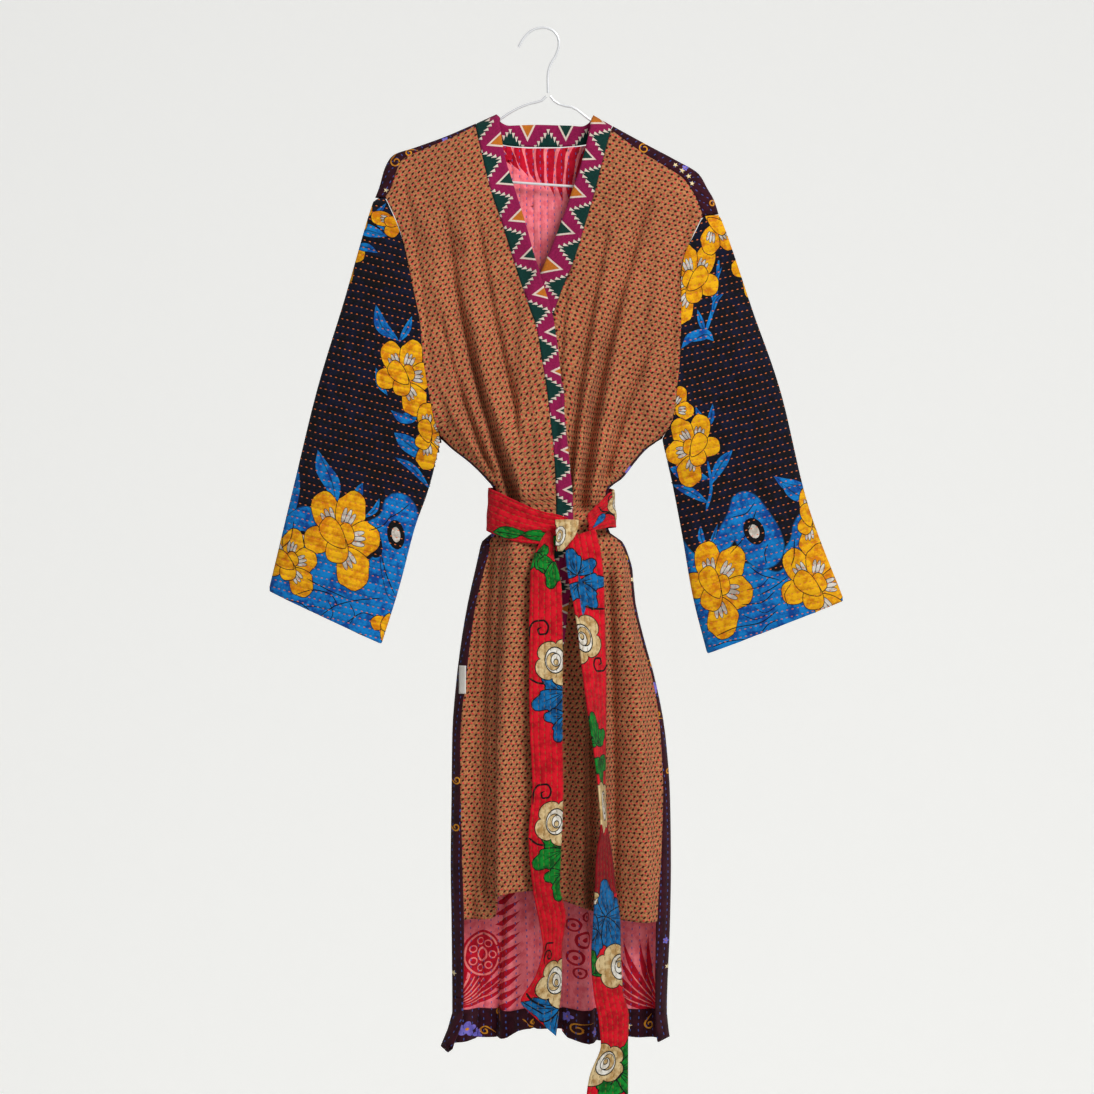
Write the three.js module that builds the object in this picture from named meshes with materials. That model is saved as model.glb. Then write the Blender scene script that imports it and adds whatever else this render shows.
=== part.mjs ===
// A long kimono robe of quilted cotton, tied with its belt and hung on a wire hanger.
// Millimetres. X runs to the viewer's right, Y towards the wall behind, Z up.
// The origin is where the hanger's hook rests on whatever carries it.
// "Left" and "right" are as the viewer sees the robe from the front.

import * as THREE from 'three';

// ---------------------------------------------------------------- driving dimensions

const CLOTH = 2.2; // two cotton faces quilted over a thin filling
const BAND_CLOTH = 2.8; // the neckband is a strip folded double
const BELT_CLOTH = 2.4;
const FACING_CLOTH = 1;
const LABEL_CLOTH = 0.8;
const SEAM_GAP = 0.4; // between pieces sewn edge to edge
const FACING_GAP = 0.3; // between the hem facing and the cloth it lies on
const LABEL_LIFT = 1; // the label's back above the cloth, over the curve of the side
const BAND_RISE = 0.5; // the neckband stands this much proud of the fronts
const BACK_BAND_GAP = 0.035; // share of the back band left open along its seams
const ROUNDING = 45; // distance in from a folded edge at which the robe has its full depth
const LAP_RISE = 6; // how far the left front rises over the right one
const LAP_RUN = 18; // the width over which it rises
const FLAT_EDGE = 4; // folds start this far in from a folded edge
const FOLD_ONSET = 14; // and have their full rise this much further in
const UNDERARM = -500; // height of the lower end of both armholes
const SIDE_TURN = 12; // drop below the underarm in which the back comes round to the side seam
const SHOULDER_WRAP = 14; // how far the back's first full row lies below the shoulder fold
const FOLD_FADE = 26; // length over which a fold dies out at its ends
const SLEEVE_BLEND = 3; // the sleeve has its own section after 1/3 of its length
const WIRE_RADIUS = 1.6;
const WIRE_SIDES = 8;

// ---------------------------------------------------------------- tables

const table = (columns, rows) =>
  rows.map((row) => Object.fromEntries(columns.map((name, i) => [name, row[i]])));

// Half depths of the hanging robe in front of and behind the hanger's plane.
const DEPTH = table(['z', 'front', 'back'], [
  [-104, 14, 14],
  [-206, 16, 15],
  [-360, 21, 16],
  [-500, 24, 17],
  [-585, 26, 19],
  [-650, 27, 21],
  [-1085, 28, 22],
  [-1240, 28, 24],
]);

// The folded sides below the underarm: outline, and how far the back's cloth comes
// round to the front before the side seam.
const SIDES = table(['z', 'left', 'right', 'leftStrip', 'rightStrip'], [
  [-500, -126, 144, 3, 3],
  [-512, -113, 126, 3, 3],
  [-530, -90, 110, 3, 3],
  [-548, -72, 96, 3, 3],
  [-562, -61.5, 79, 3, 3],
  [-585, -60, 77, 3, 3],
  [-612, -62, 79, 4, 3],
  [-626, -76, 96, 9, 3],
  [-642, -80, 103, 11, 3],
  [-660, -84, 108, 10, 3],
  [-695, -92, 111, 9, 3],
  [-740, -100, 121, 10, 3],
  [-795, -107, 136, 11, 3],
  [-860, -112, 148, 10, 6],
  [-940, -113, 154, 11, 9],
  [-1020, -114, 155, 14, 13],
  [-1085, -113, 154, 15, 17],
  [-1198, -112, 150, 13, 14],
  [-1240, -126, 155, 14, 16],
]);

// Shoulders, from the sleeve head to the neckband: the seam in front, and the fold
// that is the outline.
const SHOULDERS = {
  left: table(['seamX', 'seamZ', 'foldX', 'foldZ'], [
    [-193, -206, -206, -206],
    [-187, -197, -201, -193],
    [-181, -178, -194, -169],
    [-173, -161, -184, -154],
    [-153, -150, -157, -144.5],
    [-119, -136, -121, -131.5],
    [-84, -118.5, -82.5, -115],
  ]),
  right: table(['seamX', 'seamZ', 'foldX', 'foldZ'], [
    [193, -229, 213, -226],
    [189, -217, 208, -210],
    [181, -199, 199, -194],
    [171, -185, 189, -177],
    [148, -169, 160, -159.5],
    [117, -150, 127, -142],
    [82, -124, 84, -118.5],
  ]),
};

// Where the neckband crosses the shoulder fold, at its free edge.
const NECK_FOLD = { left: [-58, -104], right: [60, -105] };

// Armhole lines of both fronts, from the sleeve head down; the back follows them.
const ARMHOLES = {
  left: table(['z', 'x'], [
    [-206, -193], [-239, -178], [-273, -168], [-317, -159], [-361, -150],
    [-398, -147], [-430, -142], [-473, -134], [-500, -126],
  ]),
  right: table(['z', 'x'], [
    [-229, 193], [-255, 180], [-273, 171], [-305, 166], [-361, 166],
    [-398, 165], [-442, 161], [-473, 157], [-500, 144],
  ]),
};

// Seam and free edge of each neckband, down to the front hem.
const BANDS = {
  left: table(['z', 'seam', 'edge'], [
    [-118.5, -84, -54], [-160, -74.5, -47], [-200, -64.5, -34.5], [-240, -51, -22],
    [-285, -37, -10], [-320, -25.5, 1], [-345, -17, 9], [-365, -9.5, 13],
    [-400, -3.5, 18], [-440, 3, 21.5], [-482, 8, 26], [-520, 12, 30],
    [-585, 14.5, 35], [-653, 12, 35], [-715, 5, 28], [-783, -3, 21],
    [-900, -12, 13], [-1090, -20, 7],
  ]),
  right: table(['z', 'seam', 'edge'], [
    [-118.5, 83.5, 57], [-160, 72, 47], [-200, 62, 34], [-240, 50, 20],
    [-285, 36, 2], [-320, 22, -12], [-345, 13, -18], [-365, 8, -21],
    [-400, 4, -24], [-482, 3, -24], [-585, 3, -24], [-783, 2, -25],
    [-1090, 0, -27],
  ]),
};

// Heights of the rows across a front: at its outer side, and at its neckband.
const FRONT_ROWS = table(['side', 'centre'], [
  [-240, -160], [-273, -200], [-317, -255], [-361, -315], [-398, -370],
  [-440, -425], [-473, -466], [-500, -498], [-512, -512], [-530, -530],
  [-548, -548], [-562, -562], [-585, -585], [-612, -612], [-626, -626],
  [-642, -642], [-660, -660], [-695, -695], [-740, -740], [-795, -795],
  [-860, -860], [-940, -940], [-1020, -1010],
]);

// Hems: height against X.
const HEMS = {
  left: table(['x', 'z'], [
    [-100, -1085], [-68, -1081], [-58, -1062], [-37, -1052], [-12, -1046], [12, -1046],
  ]),
  right: table(['x', 'z'], [
    [-30, -1052], [21, -1059], [59, -1072], [93, -1083], [140, -1085],
  ]),
  back: table(['x', 'z'], [
    [-127, -1243], [-81, -1235], [-42, -1232], [-30, -1224], [18, -1223],
    [32, -1235], [64, -1238], [102, -1232], [148, -1233], [156, -1227],
  ]),
};
const FRONT_HEM_SIDE = -1085;

// Folds of the fronts and the back. A fold runs from (topX, top) to (footX, foot), is
// halfWidth wide to each side, and stands rise out at its ends; a negative rise is a
// crease. lean carries its crest sideways, and bow bends its line.
const FOLD_COLUMNS = [
  'top', 'topX', 'foot', 'footX', 'bow', 'halfWidth', 'topRise', 'footRise', 'lean',
];
const FOLDS = {
  left: table(FOLD_COLUMNS, [
    [-385, -100, -562, -41, 5, 14, -1, -9, 0],
    [-400, -104, -545, -58, -3, 10, -1, -5, 0],
    [-400, -50, -560, -22, 4, 22, 1, 7, 0],
    [-430, -112, -560, -50, -4, 9, 1, 5, 0],
    [-640, -30, -1090, -36, -3, 27, 9, 27, -0.22],
    [-650, -56, -900, -68, -4, 12, -7, -8, 0],
    [-700, -80, -1090, -87, 0, 15, 3, 9, -0.1],
    [-640, 2, -1090, -6, 0, 14, 2, 5, 0],
  ]),
  right: table(FOLD_COLUMNS, [
    [-400, 92, -575, 50, -6, 13, -1, -9, 0],
    [-500, 120, -570, 67, -2, 9, -2, -6, 0],
    [-520, 46, -580, 41, 0, 7, -1, -4, 0],
    [-450, 84, -575, 59, -4, 12, 1, 6, 0],
    [-740, 42, -1090, 40, 0, 16, 6, 14, 0.1],
    [-640, 50, -1090, 57, 0, 9, -4, -6, 0],
    [-640, 62, -1090, 69, 0, 11, 4, 9, 0],
    [-700, 72, -1090, 81, 3, 9, -4, -9, 0],
    [-640, 82, -1090, 108, 6, 24, 7, 15, 0.15],
  ]),
  back: table(FOLD_COLUMNS, [
    [-420, -70, -560, -38, 0, 15, 1, 7, 0],
    [-400, -20, -560, -10, 0, 15, 1, 6, 0],
    [-430, 34, -560, 20, 0, 15, 1, 6, 0],
    [-410, 84, -560, 52, 0, 16, 1, 7, 0],
    [-630, -40, -1250, -82, 0, 17, 5, 7, 0],
    [-630, -14, -1250, -38, 0, 20, 6, 15, -0.1],
    [-630, 20, -1250, 44, 0, 18, 6, 16, 0.1],
    [-630, 52, -1250, 84, 0, 12, 4, 5, 0],
    [-630, 70, -1250, 118, 0, 20, 4, 12, 0],
  ]),
};

// Sleeves: outer and inner fold from the armhole (share 0) to the cuff (share 1), and
// half the depth between the faces.
const SLEEVES = {
  left: table(['share', 'outerX', 'outerZ', 'innerX', 'innerZ', 'half'], [
    [0, -206, -206, -126, -500, 16],
    [0.25, -240.5, -321, -140, -559, 14],
    [0.5, -276, -437, -157, -607, 15],
    [0.75, -306, -560, -176, -679, 16],
    [1, -336, -685, -198, -750, 19],
  ]),
  right: table(['share', 'outerX', 'outerZ', 'innerX', 'innerZ', 'half'], [
    [0, 213, -226, 144, -500, 16],
    [0.25, 252, -337, 155, -548, 14],
    [0.5, 288, -440, 168, -615, 15],
    [0.75, 322, -580, 181, -690, 16],
    [1, 366, -697, 199, -762, 19],
  ]),
};
const SLEEVE_ROWS = [0.003, 0.06, 0.13, 0.2, 0.28, 0.37, 0.47, 0.57, 0.67, 0.77, 0.87, 0.95, 1];
const SLEEVE_BOXINESS = 0.75; // below 1 flattens the sleeve's faces

// The belt round the waist, as a flattened ring. turn is in degrees in plan, from the
// left of the knot round the back to its right; push moves the cloth out.
const RING = { x: 9, y: -9.5, halfWidth: 77, halfDepth: 35, power: 2.6, flare: 0.03 };
const BELT_LOOP = table(['turn', 'z', 'halfWidth', 'push'], [
  [-80, -614, 17, 2],
  [-100, -607, 21, 1],
  [-120, -600, 25, 0.5],
  [-145, -591, 26, 0],
  [-180, -585.5, 25.5, 0],
  [-225, -584, 25, 0],
  [-270, -583, 25, 0],
  [-315, -584, 25, 0],
  [-360, -585.5, 22.5, 0],
  [-385, -587, 20.5, 1],
  [-405, -594, 16, 5],
  [-421, -603, 11, 10],
]);
const BELT_STEP = 9; // degrees between the belt's rings of points

// The knot's wrap, from behind its top edge over its front to behind its foot.
const KNOT = table(['z', 'left', 'right', 'y'], [
  [-604, 15, 40, -51],
  [-599, 14, 41, -54],
  [-600, 13, 41.5, -59],
  [-608, 13.5, 41, -63],
  [-618, 14.5, 37.5, -64.5],
  [-628, 14, 30, -63],
  [-636, 14.5, 23, -59],
  [-637, 15, 22, -54],
  [-633, 15.5, 22, -51],
]);

// The belt's two ends: left and right edge of each section, with their depths.
const TAIL_COLUMNS = ['leftX', 'leftZ', 'leftY', 'rightX', 'rightZ', 'rightY'];
const TAILS = {
  left: table(TAIL_COLUMNS, [
    [4, -612, -50, 11, -616, -50],
    [-5, -626, -53, 11.5, -628, -51],
    [-11, -640, -55, 12, -642, -52],
    [-16, -660, -57, 17.5, -660, -56],
    [-17, -685, -57, 21.5, -685, -57],
    [-18, -738, -57, 22.5, -738, -56],
    [-18, -792, -58, 22.5, -792, -56],
    [-17, -854, -59, 22.5, -854, -56],
    [-14, -917, -60, 23.5, -917, -56],
    [-18.5, -980, -60, 21.5, -980, -56],
    [-13, -1044, -60, 19.5, -1040, -56],
    [-6, -1080, -59, 27, -1076, -55],
    [-1.5, -1112, -58, 22, -1112, -54],
    [-10, -1145, -57, 21.5, -1152, -53],
    [-28, -1176, -57, 18, -1190, -52],
    [-24, -1184, -56, 14.6, -1219, -52],
  ]),
  right: table(TAIL_COLUMNS, [
    [25, -622, -53, 62, -610, -53],
    [26, -645, -56, 69, -640, -55],
    [30, -675, -58, 72, -672, -55],
    [35, -700, -62, 73, -700, -56],
    [41, -735, -68, 74, -735, -56],
    [47, -785, -77, 75, -785, -56],
    [53.5, -830, -85, 75, -830, -56],
    [61, -875, -91, 74.5, -875, -56],
    [66, -916, -95, 74, -916, -56],
    [69, -960, -95, 76, -960, -56],
    [63.5, -1000, -90, 82, -1000, -56],
    [61.5, -1045, -84, 87, -1045, -55],
    [59, -1085, -77, 92, -1085, -55],
    [57, -1126, -70, 92.5, -1126, -54],
    [59.5, -1165, -66, 95, -1165, -54],
    [66, -1200, -62, 102, -1195, -54],
    [68, -1228, -60, 101, -1228, -54],
    [54, -1268, -58, 101, -1266, -54],
    [50, -1299, -58, 101, -1299, -54],
    [48, -1330, -58, 99, -1334, -54],
    [45, -1352, -58, 98, -1370, -54],
  ]),
};

// The back part of the neckband: seam to the back, free edge, from fold to fold.
const BACK_BAND = table(['seamX', 'seamZ', 'edgeX', 'edgeZ'], [
  [-82.5, -115, -58, -104],
  [-78.5, -121, -56, -108],
  [-72, -129, -53, -112],
  [-56, -138.5, -43, -116],
  [-36, -142, -29, -115.5],
  [-12, -143, -10, -115],
  [14, -143, 12, -115.5],
  [38, -141.5, 32, -116],
  [57, -138.5, 46, -117],
  [73, -131, 55, -113],
  [79.5, -125, 58, -109],
  [84, -118.5, 60, -105],
]);

// The wire hanger, in the plane y = 0, as points [x, z] of each wire's middle.
const HANGER = {
  hook: [
    [-31, -22], [-25, -11.5], [-16, -2.5], [-2, 1.8], [10, -1.5], [17, -10],
    [18, -21], [14, -33], [8, -43], [5, -54], [5, -78],
  ],
  left: [
    [2.6, -82], [-3, -87.5], [-17, -91], [-29, -95.5], [-44, -103.5], [-57, -112.5],
    [-90, -126.2], [-120, -138.5], [-150, -151.4], [-176, -162.5], [-184, -166.4],
    [-188.3, -171.5], [-184, -176.9],
  ],
  right: [
    [7.6, -82], [12, -87.5], [20, -92.5], [36, -96], [46, -103], [59, -113],
    [90, -131], [120, -147.8], [150, -165.3], [176, -180.4], [186, -186.5],
    [191.5, -193.5], [186, -202.2],
  ],
  bar: [[-182.4, -177.3], [-60, -185.6], [60, -193.8], [184, -202.3]],
};

// The small cloth label at the left side seam.
const LABEL = { left: -103.5, right: -95, top: -776, foot: -810, columns: 3, rows: 4 };

// Rows of the back below the armholes that the fronts don't share, to the hem.
const BACK_SKIRT_ROWS = [-1085, -1130, -1170, -1198, -1216];
const FACING_TOP = -1198;
const SIDE_COLUMNS = 3; // the back's first and last columns, which go round the side

// ---------------------------------------------------------------- small helpers

const lerp = (a, b, t) => a + (b - a) * t;
const clamp = (t) => Math.min(1, Math.max(0, t));
const smooth = (t) => clamp(t) ** 2 * (3 - 2 * clamp(t));
const range = (count) => Array.from({ length: count + 1 }, (_, i) => i / count);

// Value of one column of a table at a place along another, with smooth slopes that
// never overshoot the rows.
function lookup(rows, key, place, column) {
  const sign = Math.sign(rows[rows.length - 1][key] - rows[0][key]);
  const along = rows.map((row) => row[key] * sign);
  const values = rows.map((row) => row[column]);
  const last = rows.length - 1;
  const x = Math.min(along[last], Math.max(along[0], place * sign));
  const i = Math.min(last - 1, Math.max(0, along.findIndex((a) => a > x) - 1 || 0));
  const k = x >= along[last] ? last - 1 : i;
  const rate = (j) => (values[j + 1] - values[j]) / (along[j + 1] - along[j]);
  const slope = (j) => {
    if (j === 0 || j === last) return rate(Math.min(j, last - 1));
    const [before, after] = [rate(j - 1), rate(j)];
    return before * after > 0 ? (2 * before * after) / (before + after) : 0;
  };
  const span = along[k + 1] - along[k];
  const t = (x - along[k]) / span;
  const [t2, t3] = [t * t, t * t * t];
  return (2 * t3 - 3 * t2 + 1) * values[k] + (t3 - 2 * t2 + t) * span * slope(k)
    + (3 * t2 - 2 * t3) * values[k + 1] + (t3 - t2) * span * slope(k + 1);
}

// Straight interpolation between whole rows, at a share from 0 to 1 of the table.
function rowAt(rows, share, column) {
  const place = clamp(share) * (rows.length - 1);
  const i = Math.min(rows.length - 2, Math.floor(place));
  return lerp(rows[i][column], rows[i + 1][column], place - i);
}

function distanceToLine(x, z, line) {
  let nearest = Infinity;
  for (let i = 0; i + 1 < line.length; i += 1) {
    const [ax, az] = line[i];
    const [dx, dz] = [line[i + 1][0] - ax, line[i + 1][1] - az];
    const t = clamp(((x - ax) * dx + (z - az) * dz) / (dx * dx + dz * dz));
    nearest = Math.min(nearest, Math.hypot(x - ax - t * dx, z - az - t * dz));
  }
  return nearest;
}

// ---------------------------------------------------------------- the robe's body

const shoulderLine = (side) => [
  NECK_FOLD[side],
  ...[...SHOULDERS[side]].reverse().map((row) => [row.foldX, row.foldZ]),
];
const FOLDED_EDGES = [
  shoulderLine('left'),
  shoulderLine('right'),
  SIDES.map((row) => [row.left, row.z]),
  SIDES.map((row) => [row.right, row.z]),
];

const insetAt = (x, z) => Math.min(...FOLDED_EDGES.map((line) => distanceToLine(x, z, line)));

// Half depth of the robe at a point: nothing at a folded edge, then a quarter ellipse.
function halfDepth(x, z, face) {
  const t = 1 - Math.min(1, insetAt(x, z) / ROUNDING);
  return lookup(DEPTH, 'z', z, face) * Math.sqrt(1 - t * t);
}

// Sum of the folds at a point: how far the cloth stands out, and its sideways lean.
function foldsAt(folds, x, z) {
  let [rise, shift] = [0, 0];
  for (const fold of folds) {
    const t = clamp((fold.top - z) / (fold.top - fold.foot));
    const beyond = Math.max(z - fold.top, fold.foot - z, 0);
    const middle = lerp(fold.topX, fold.footX, t) + fold.bow * 4 * t * (1 - t);
    const away = Math.min(1, Math.abs(x - middle) / fold.halfWidth);
    const bell = 0.5 * (1 + Math.cos(Math.PI * away)) * (1 - smooth(beyond / FOLD_FADE));
    const here = lerp(fold.topRise, fold.footRise, t) * bell;
    rise += here;
    shift += here * fold.lean;
  }
  const share = smooth((insetAt(x, z) - FLAT_EDGE) / FOLD_ONSET);
  return { rise: rise * share, shift: shift * share };
}

// A point of a front's outer face. The left front rises where the right one is below.
function frontFace(side, x, z) {
  const { rise, shift } = foldsAt(FOLDS[side], x, z);
  const under = lookup(BANDS.right, 'z', z, 'edge');
  const lap = side === 'left' ? LAP_RISE * smooth((x - under + LAP_RUN) / LAP_RUN) : 0;
  return new THREE.Vector3(x + shift, -halfDepth(x, z, 'front') - lap - rise, z);
}

// Height at which a neckband's seam reaches the front hem.
const bandFoot = (side) => lookup(HEMS[side], 'x', BANDS[side].at(-1).seam, 'z');

// A front, from its armhole and side seam (u = 0) to its neckband (u = 1).
function frontPanel(side) {
  const shoulder = SHOULDERS[side];
  const inward = side === 'left' ? 1 : -1;
  const last = FRONT_ROWS.length + 1;
  const sideX = (z) => (z > UNDERARM
    ? lookup(ARMHOLES[side], 'z', z, 'x')
    : lookup(SIDES, 'z', z, side) + inward * (lookup(SIDES, 'z', z, `${side}Strip`) + SEAM_GAP));
  const heights = (row) => {
    if (row === 0) return [shoulder[0].seamZ, shoulder[shoulder.length - 1].seamZ];
    if (row === last) return [FRONT_HEM_SIDE, bandFoot(side)];
    return [FRONT_ROWS[row - 1].side, FRONT_ROWS[row - 1].centre];
  };
  const rowPoint = (row, u) => {
    const [outerZ, centreZ] = heights(row);
    const outerX = row === 0 ? shoulder[0].seamX : sideX(outerZ);
    const centreX = lookup(BANDS[side], 'z', centreZ, 'seam');
    const x = lerp(outerX, centreX, u);
    let z = lerp(outerZ, centreZ, u);
    if (row === last) z = lookup(HEMS[side], 'x', x, 'z');
    return [x, z];
  };
  // The shoulder seam isn't straight, and the first rows take up its shape.
  const seamOffset = (u) => {
    const [x, z] = rowPoint(0, u);
    const seam = { x: rowAt(shoulder, u, 'seamX'), z: rowAt(shoulder, u, 'seamZ') };
    const fold = { x: rowAt(shoulder, u, 'foldX'), z: rowAt(shoulder, u, 'foldZ') };
    const strip = Math.hypot(seam.x - fold.x, seam.z - fold.z);
    const gap = SEAM_GAP / strip;
    return [seam.x + (seam.x - fold.x) * gap - x, seam.z + (seam.z - fold.z) * gap - z];
  };
  return (u, v) => {
    const place = v * last;
    const row = Math.min(last - 1, Math.floor(place));
    const [a, b] = [rowPoint(row, u), rowPoint(row + 1, u)];
    const share = Math.max(0, 1 - place / 3) ** 2;
    const [offsetX, offsetZ] = share > 0 ? seamOffset(u) : [0, 0];
    const x = lerp(a[0], b[0], place - row) + offsetX * share;
    const z = lerp(a[1], b[1], place - row) + offsetZ * share;
    return frontFace(side, x, z);
  };
}

// A neckband beside its front, from the seam (u = 0) to the free edge (u = 1).
function neckband(side) {
  const outward = side === 'left' ? 1 : -1;
  const fold = SHOULDERS[side].at(-1);
  const tops = [
    [fold.foldX + 2 * outward * SEAM_GAP, fold.foldZ - SEAM_GAP],
    [NECK_FOLD[side][0], NECK_FOLD[side][1] - SEAM_GAP],
  ];
  const rows = [SHOULDERS[side].at(-1).seamZ, ...FRONT_ROWS.map((row) => row.centre), bandFoot(side)];
  const last = rows.length;
  const rise = (z) => 10 * (1 - smooth((-250 - z) / 150)); // the free edge's end of a row is higher
  return (u, v) => {
    const place = v * last;
    const row = Math.min(last - 1, Math.floor(place));
    const corner = (index) => {
      if (index === 0) return [lerp(tops[0][0], tops[1][0], u), lerp(tops[0][1], tops[1][1], u)];
      const z = rows[index - 1];
      const edgeZ = z + rise(z);
      const seamX = lookup(BANDS[side], 'z', z, 'seam') + outward * SEAM_GAP;
      const x = lerp(seamX, lookup(BANDS[side], 'z', edgeZ, 'edge'), u);
      return [x, index === last ? lookup(HEMS[side], 'x', x, 'z') : lerp(z, edgeZ, u)];
    };
    const [a, b] = [corner(row), corner(row + 1)];
    const [x, z] = [lerp(a[0], b[0], place - row), lerp(a[1], b[1], place - row)];
    return frontFace(side, x, z).add(new THREE.Vector3(0, -BAND_RISE, 0));
  };
}

// ---------------------------------------------------------------- the back

// Columns of the back at its top: shoulder seam, shoulder fold and first row behind;
// between the shoulders the neck edge and two rows under it.
const backTop = (() => {
  const shoulderColumn = (row) => {
    const strip = Math.hypot(row.seamX - row.foldX, row.seamZ - row.foldZ);
    const reach = Math.max(1, SHOULDER_WRAP / strip);
    return {
      face: -1,
      x: [row.seamX, row.foldX, lerp(row.foldX, row.seamX, reach)],
      z: [row.seamZ, row.foldZ, lerp(row.foldZ, row.seamZ, reach)],
    };
  };
  const neckColumn = (row) => ({
    face: 1,
    x: [row.seamX, row.seamX, row.seamX],
    z: [row.seamZ - SEAM_GAP, row.seamZ - 6, row.seamZ - SHOULDER_WRAP],
  });
  // Close to each sleeve head there are extra columns, which lower down go round the side.
  const withSideColumns = (rows) => {
    const between = (t) => Object.fromEntries(
      Object.keys(rows[0]).map((name) => [name, lerp(rows[0][name], rows[1][name], t)]),
    );
    return [rows[0], between(0.3), between(0.6), ...rows.slice(1)];
  };
  return [
    ...withSideColumns(SHOULDERS.left).map(shoulderColumn),
    ...BACK_BAND.map(neckColumn),
    ...withSideColumns(SHOULDERS.right).map(shoulderColumn).reverse(),
  ];
})();
const BACK_COLUMNS = backTop.length - 1;
const BACK_ROWS = [...FRONT_ROWS.map((row) => row.side), ...BACK_SKIRT_ROWS];
const BACK_LAST = BACK_ROWS.length + 3;

// Places of the back's columns at a height: X, and whether in front or behind.
function backColumn(index, z) {
  const turn = smooth((UNDERARM - z) / SIDE_TURN);
  const along = (side) => {
    const steps = [0, 2, 4, 10];
    const strip = lookup(SIDES, 'z', z, `${side}Strip`);
    const turned = [-strip, -0.4 * strip, 0, 6];
    const step = side === 'left' ? index : BACK_COLUMNS - index;
    const low = Math.floor(step);
    const mix = (list) => lerp(list[low], list[Math.min(SIDE_COLUMNS, low + 1)], step - low);
    return lerp(mix(steps), mix(turned), turn);
  };
  const edge = (side) => (z > UNDERARM
    ? lookup(ARMHOLES[side], 'z', z, 'x')
    : lookup(SIDES, 'z', z, side));
  if (index <= SIDE_COLUMNS) {
    const inset = along('left');
    return { x: edge('left') + Math.abs(inset), face: inset < 0 ? -1 : 1 };
  }
  if (index >= BACK_COLUMNS - SIDE_COLUMNS) {
    const inset = along('right');
    return { x: edge('right') - Math.abs(inset), face: inset < 0 ? -1 : 1 };
  }
  const left = edge('left') + lerp(10, 6, turn);
  const right = edge('right') - lerp(10, 6, turn);
  const share = (index - SIDE_COLUMNS) / (BACK_COLUMNS - 2 * SIDE_COLUMNS);
  return { x: lerp(left, right, share), face: 1 };
}

function backFace(x, z, face) {
  const { rise, shift } = foldsAt(FOLDS.back, x, z);
  if (face < 0) return new THREE.Vector3(x, face * halfDepth(x, z, 'front'), z);
  return new THREE.Vector3(x + shift, face * halfDepth(x, z, 'back') - rise, z);
}

// The back's outer face: u across from side seam to side seam, v from the shoulder
// seams over the folds and down to the hem.
function backPanel(u, v) {
  const column = u * BACK_COLUMNS;
  const low = Math.min(BACK_COLUMNS - 1, Math.floor(column));
  const [left, right] = [backTop[low], backTop[low + 1]];
  const side = column - low;
  const topX = (row) => lerp(left.x[row], right.x[row], side);
  const topZ = (row) => lerp(left.z[row], right.z[row], side);
  const place = v * BACK_LAST;
  const row = Math.min(BACK_LAST - 1, Math.floor(place));
  const t = place - row;
  if (row < 2) {
    const face = row === 0 ? lerp(left.face, right.face, side) : 1;
    return backFace(lerp(topX(row), topX(row + 1), t), lerp(topZ(row), topZ(row + 1), t), face);
  }
  const height = (index) => {
    if (index < BACK_LAST) return BACK_ROWS[index - 3];
    return lookup(HEMS.back, 'x', backColumn(column, -1235).x, 'z');
  };
  if (row === 2) {
    const below = backColumn(column, height(3));
    return backFace(lerp(topX(2), below.x, t), lerp(topZ(2), height(3), t), 1);
  }
  const z = lerp(height(row), height(row + 1), t);
  const { x, face } = backColumn(column, z);
  return backFace(x, z, face);
}

// ---------------------------------------------------------------- sleeves

// Points of an armhole seen from the front, from the shoulder fold to the underarm.
function armholeLine(side) {
  const tip = SHOULDERS[side][0];
  const rows = FRONT_ROWS.filter((row) => row.side >= UNDERARM && row.side < tip.seamZ);
  return [
    [tip.foldX, tip.foldZ],
    [tip.seamX, tip.seamZ],
    ...rows.map((row) => [lookup(ARMHOLES[side], 'z', row.side, 'x'), row.side]),
  ];
}

// Share of a line's length at each of its points.
function lineShares(line) {
  const lengths = [0];
  for (let i = 1; i < line.length; i += 1) {
    lengths.push(lengths[i - 1] + Math.hypot(line[i][0] - line[i - 1][0], line[i][1] - line[i - 1][1]));
  }
  return lengths.map((length) => length / lengths.at(-1));
}

// A sleeve as a flattened tube: u once round from the outer fold by the front, v down.
function sleeve(side) {
  const armhole = armholeLine(side);
  const shares = lineShares(armhole);
  const count = armhole.length - 1;
  const section = SLEEVES[side];
  return (u, v) => {
    const inFront = u < 0.5;
    const place = (inFront ? 2 * u : 2 - 2 * u) * count;
    const k = Math.min(count - 1, Math.floor(place));
    const t = place - k;
    const own = smooth(v * SLEEVE_BLEND);
    const angle = Math.PI * (place / count);
    const across = lerp(lerp(shares[k], shares[k + 1], t), (1 - Math.cos(angle)) / 2, own);
    const [outerX, outerZ, innerX, innerZ, half] = ['outerX', 'outerZ', 'innerX', 'innerZ', 'half']
      .map((name) => lookup(section, 'share', v, name));
    // The armhole's own curve dies out down the sleeve.
    const bulge = (index) => [
      armhole[index][0] - lerp(armhole[0][0], armhole[count][0], shares[index]),
      armhole[index][1] - lerp(armhole[0][1], armhole[count][1], shares[index]),
    ];
    const [a, b] = [bulge(k), bulge(k + 1)];
    const x = lerp(outerX, innerX, across) + lerp(a[0], b[0], t) * (1 - own);
    const z = lerp(outerZ, innerZ, across) + lerp(a[1], b[1], t) * (1 - own);
    const face = inFront ? 'front' : 'back';
    const ownDepth = half * Math.max(0, Math.sin(angle)) ** SLEEVE_BOXINESS;
    const depth = own < 1 ? lerp(halfDepth(x, z, face), ownDepth, own) : ownDepth;
    return new THREE.Vector3(x, (inFront ? -1 : 1) * depth, z);
  };
}

// ---------------------------------------------------------------- belt

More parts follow.
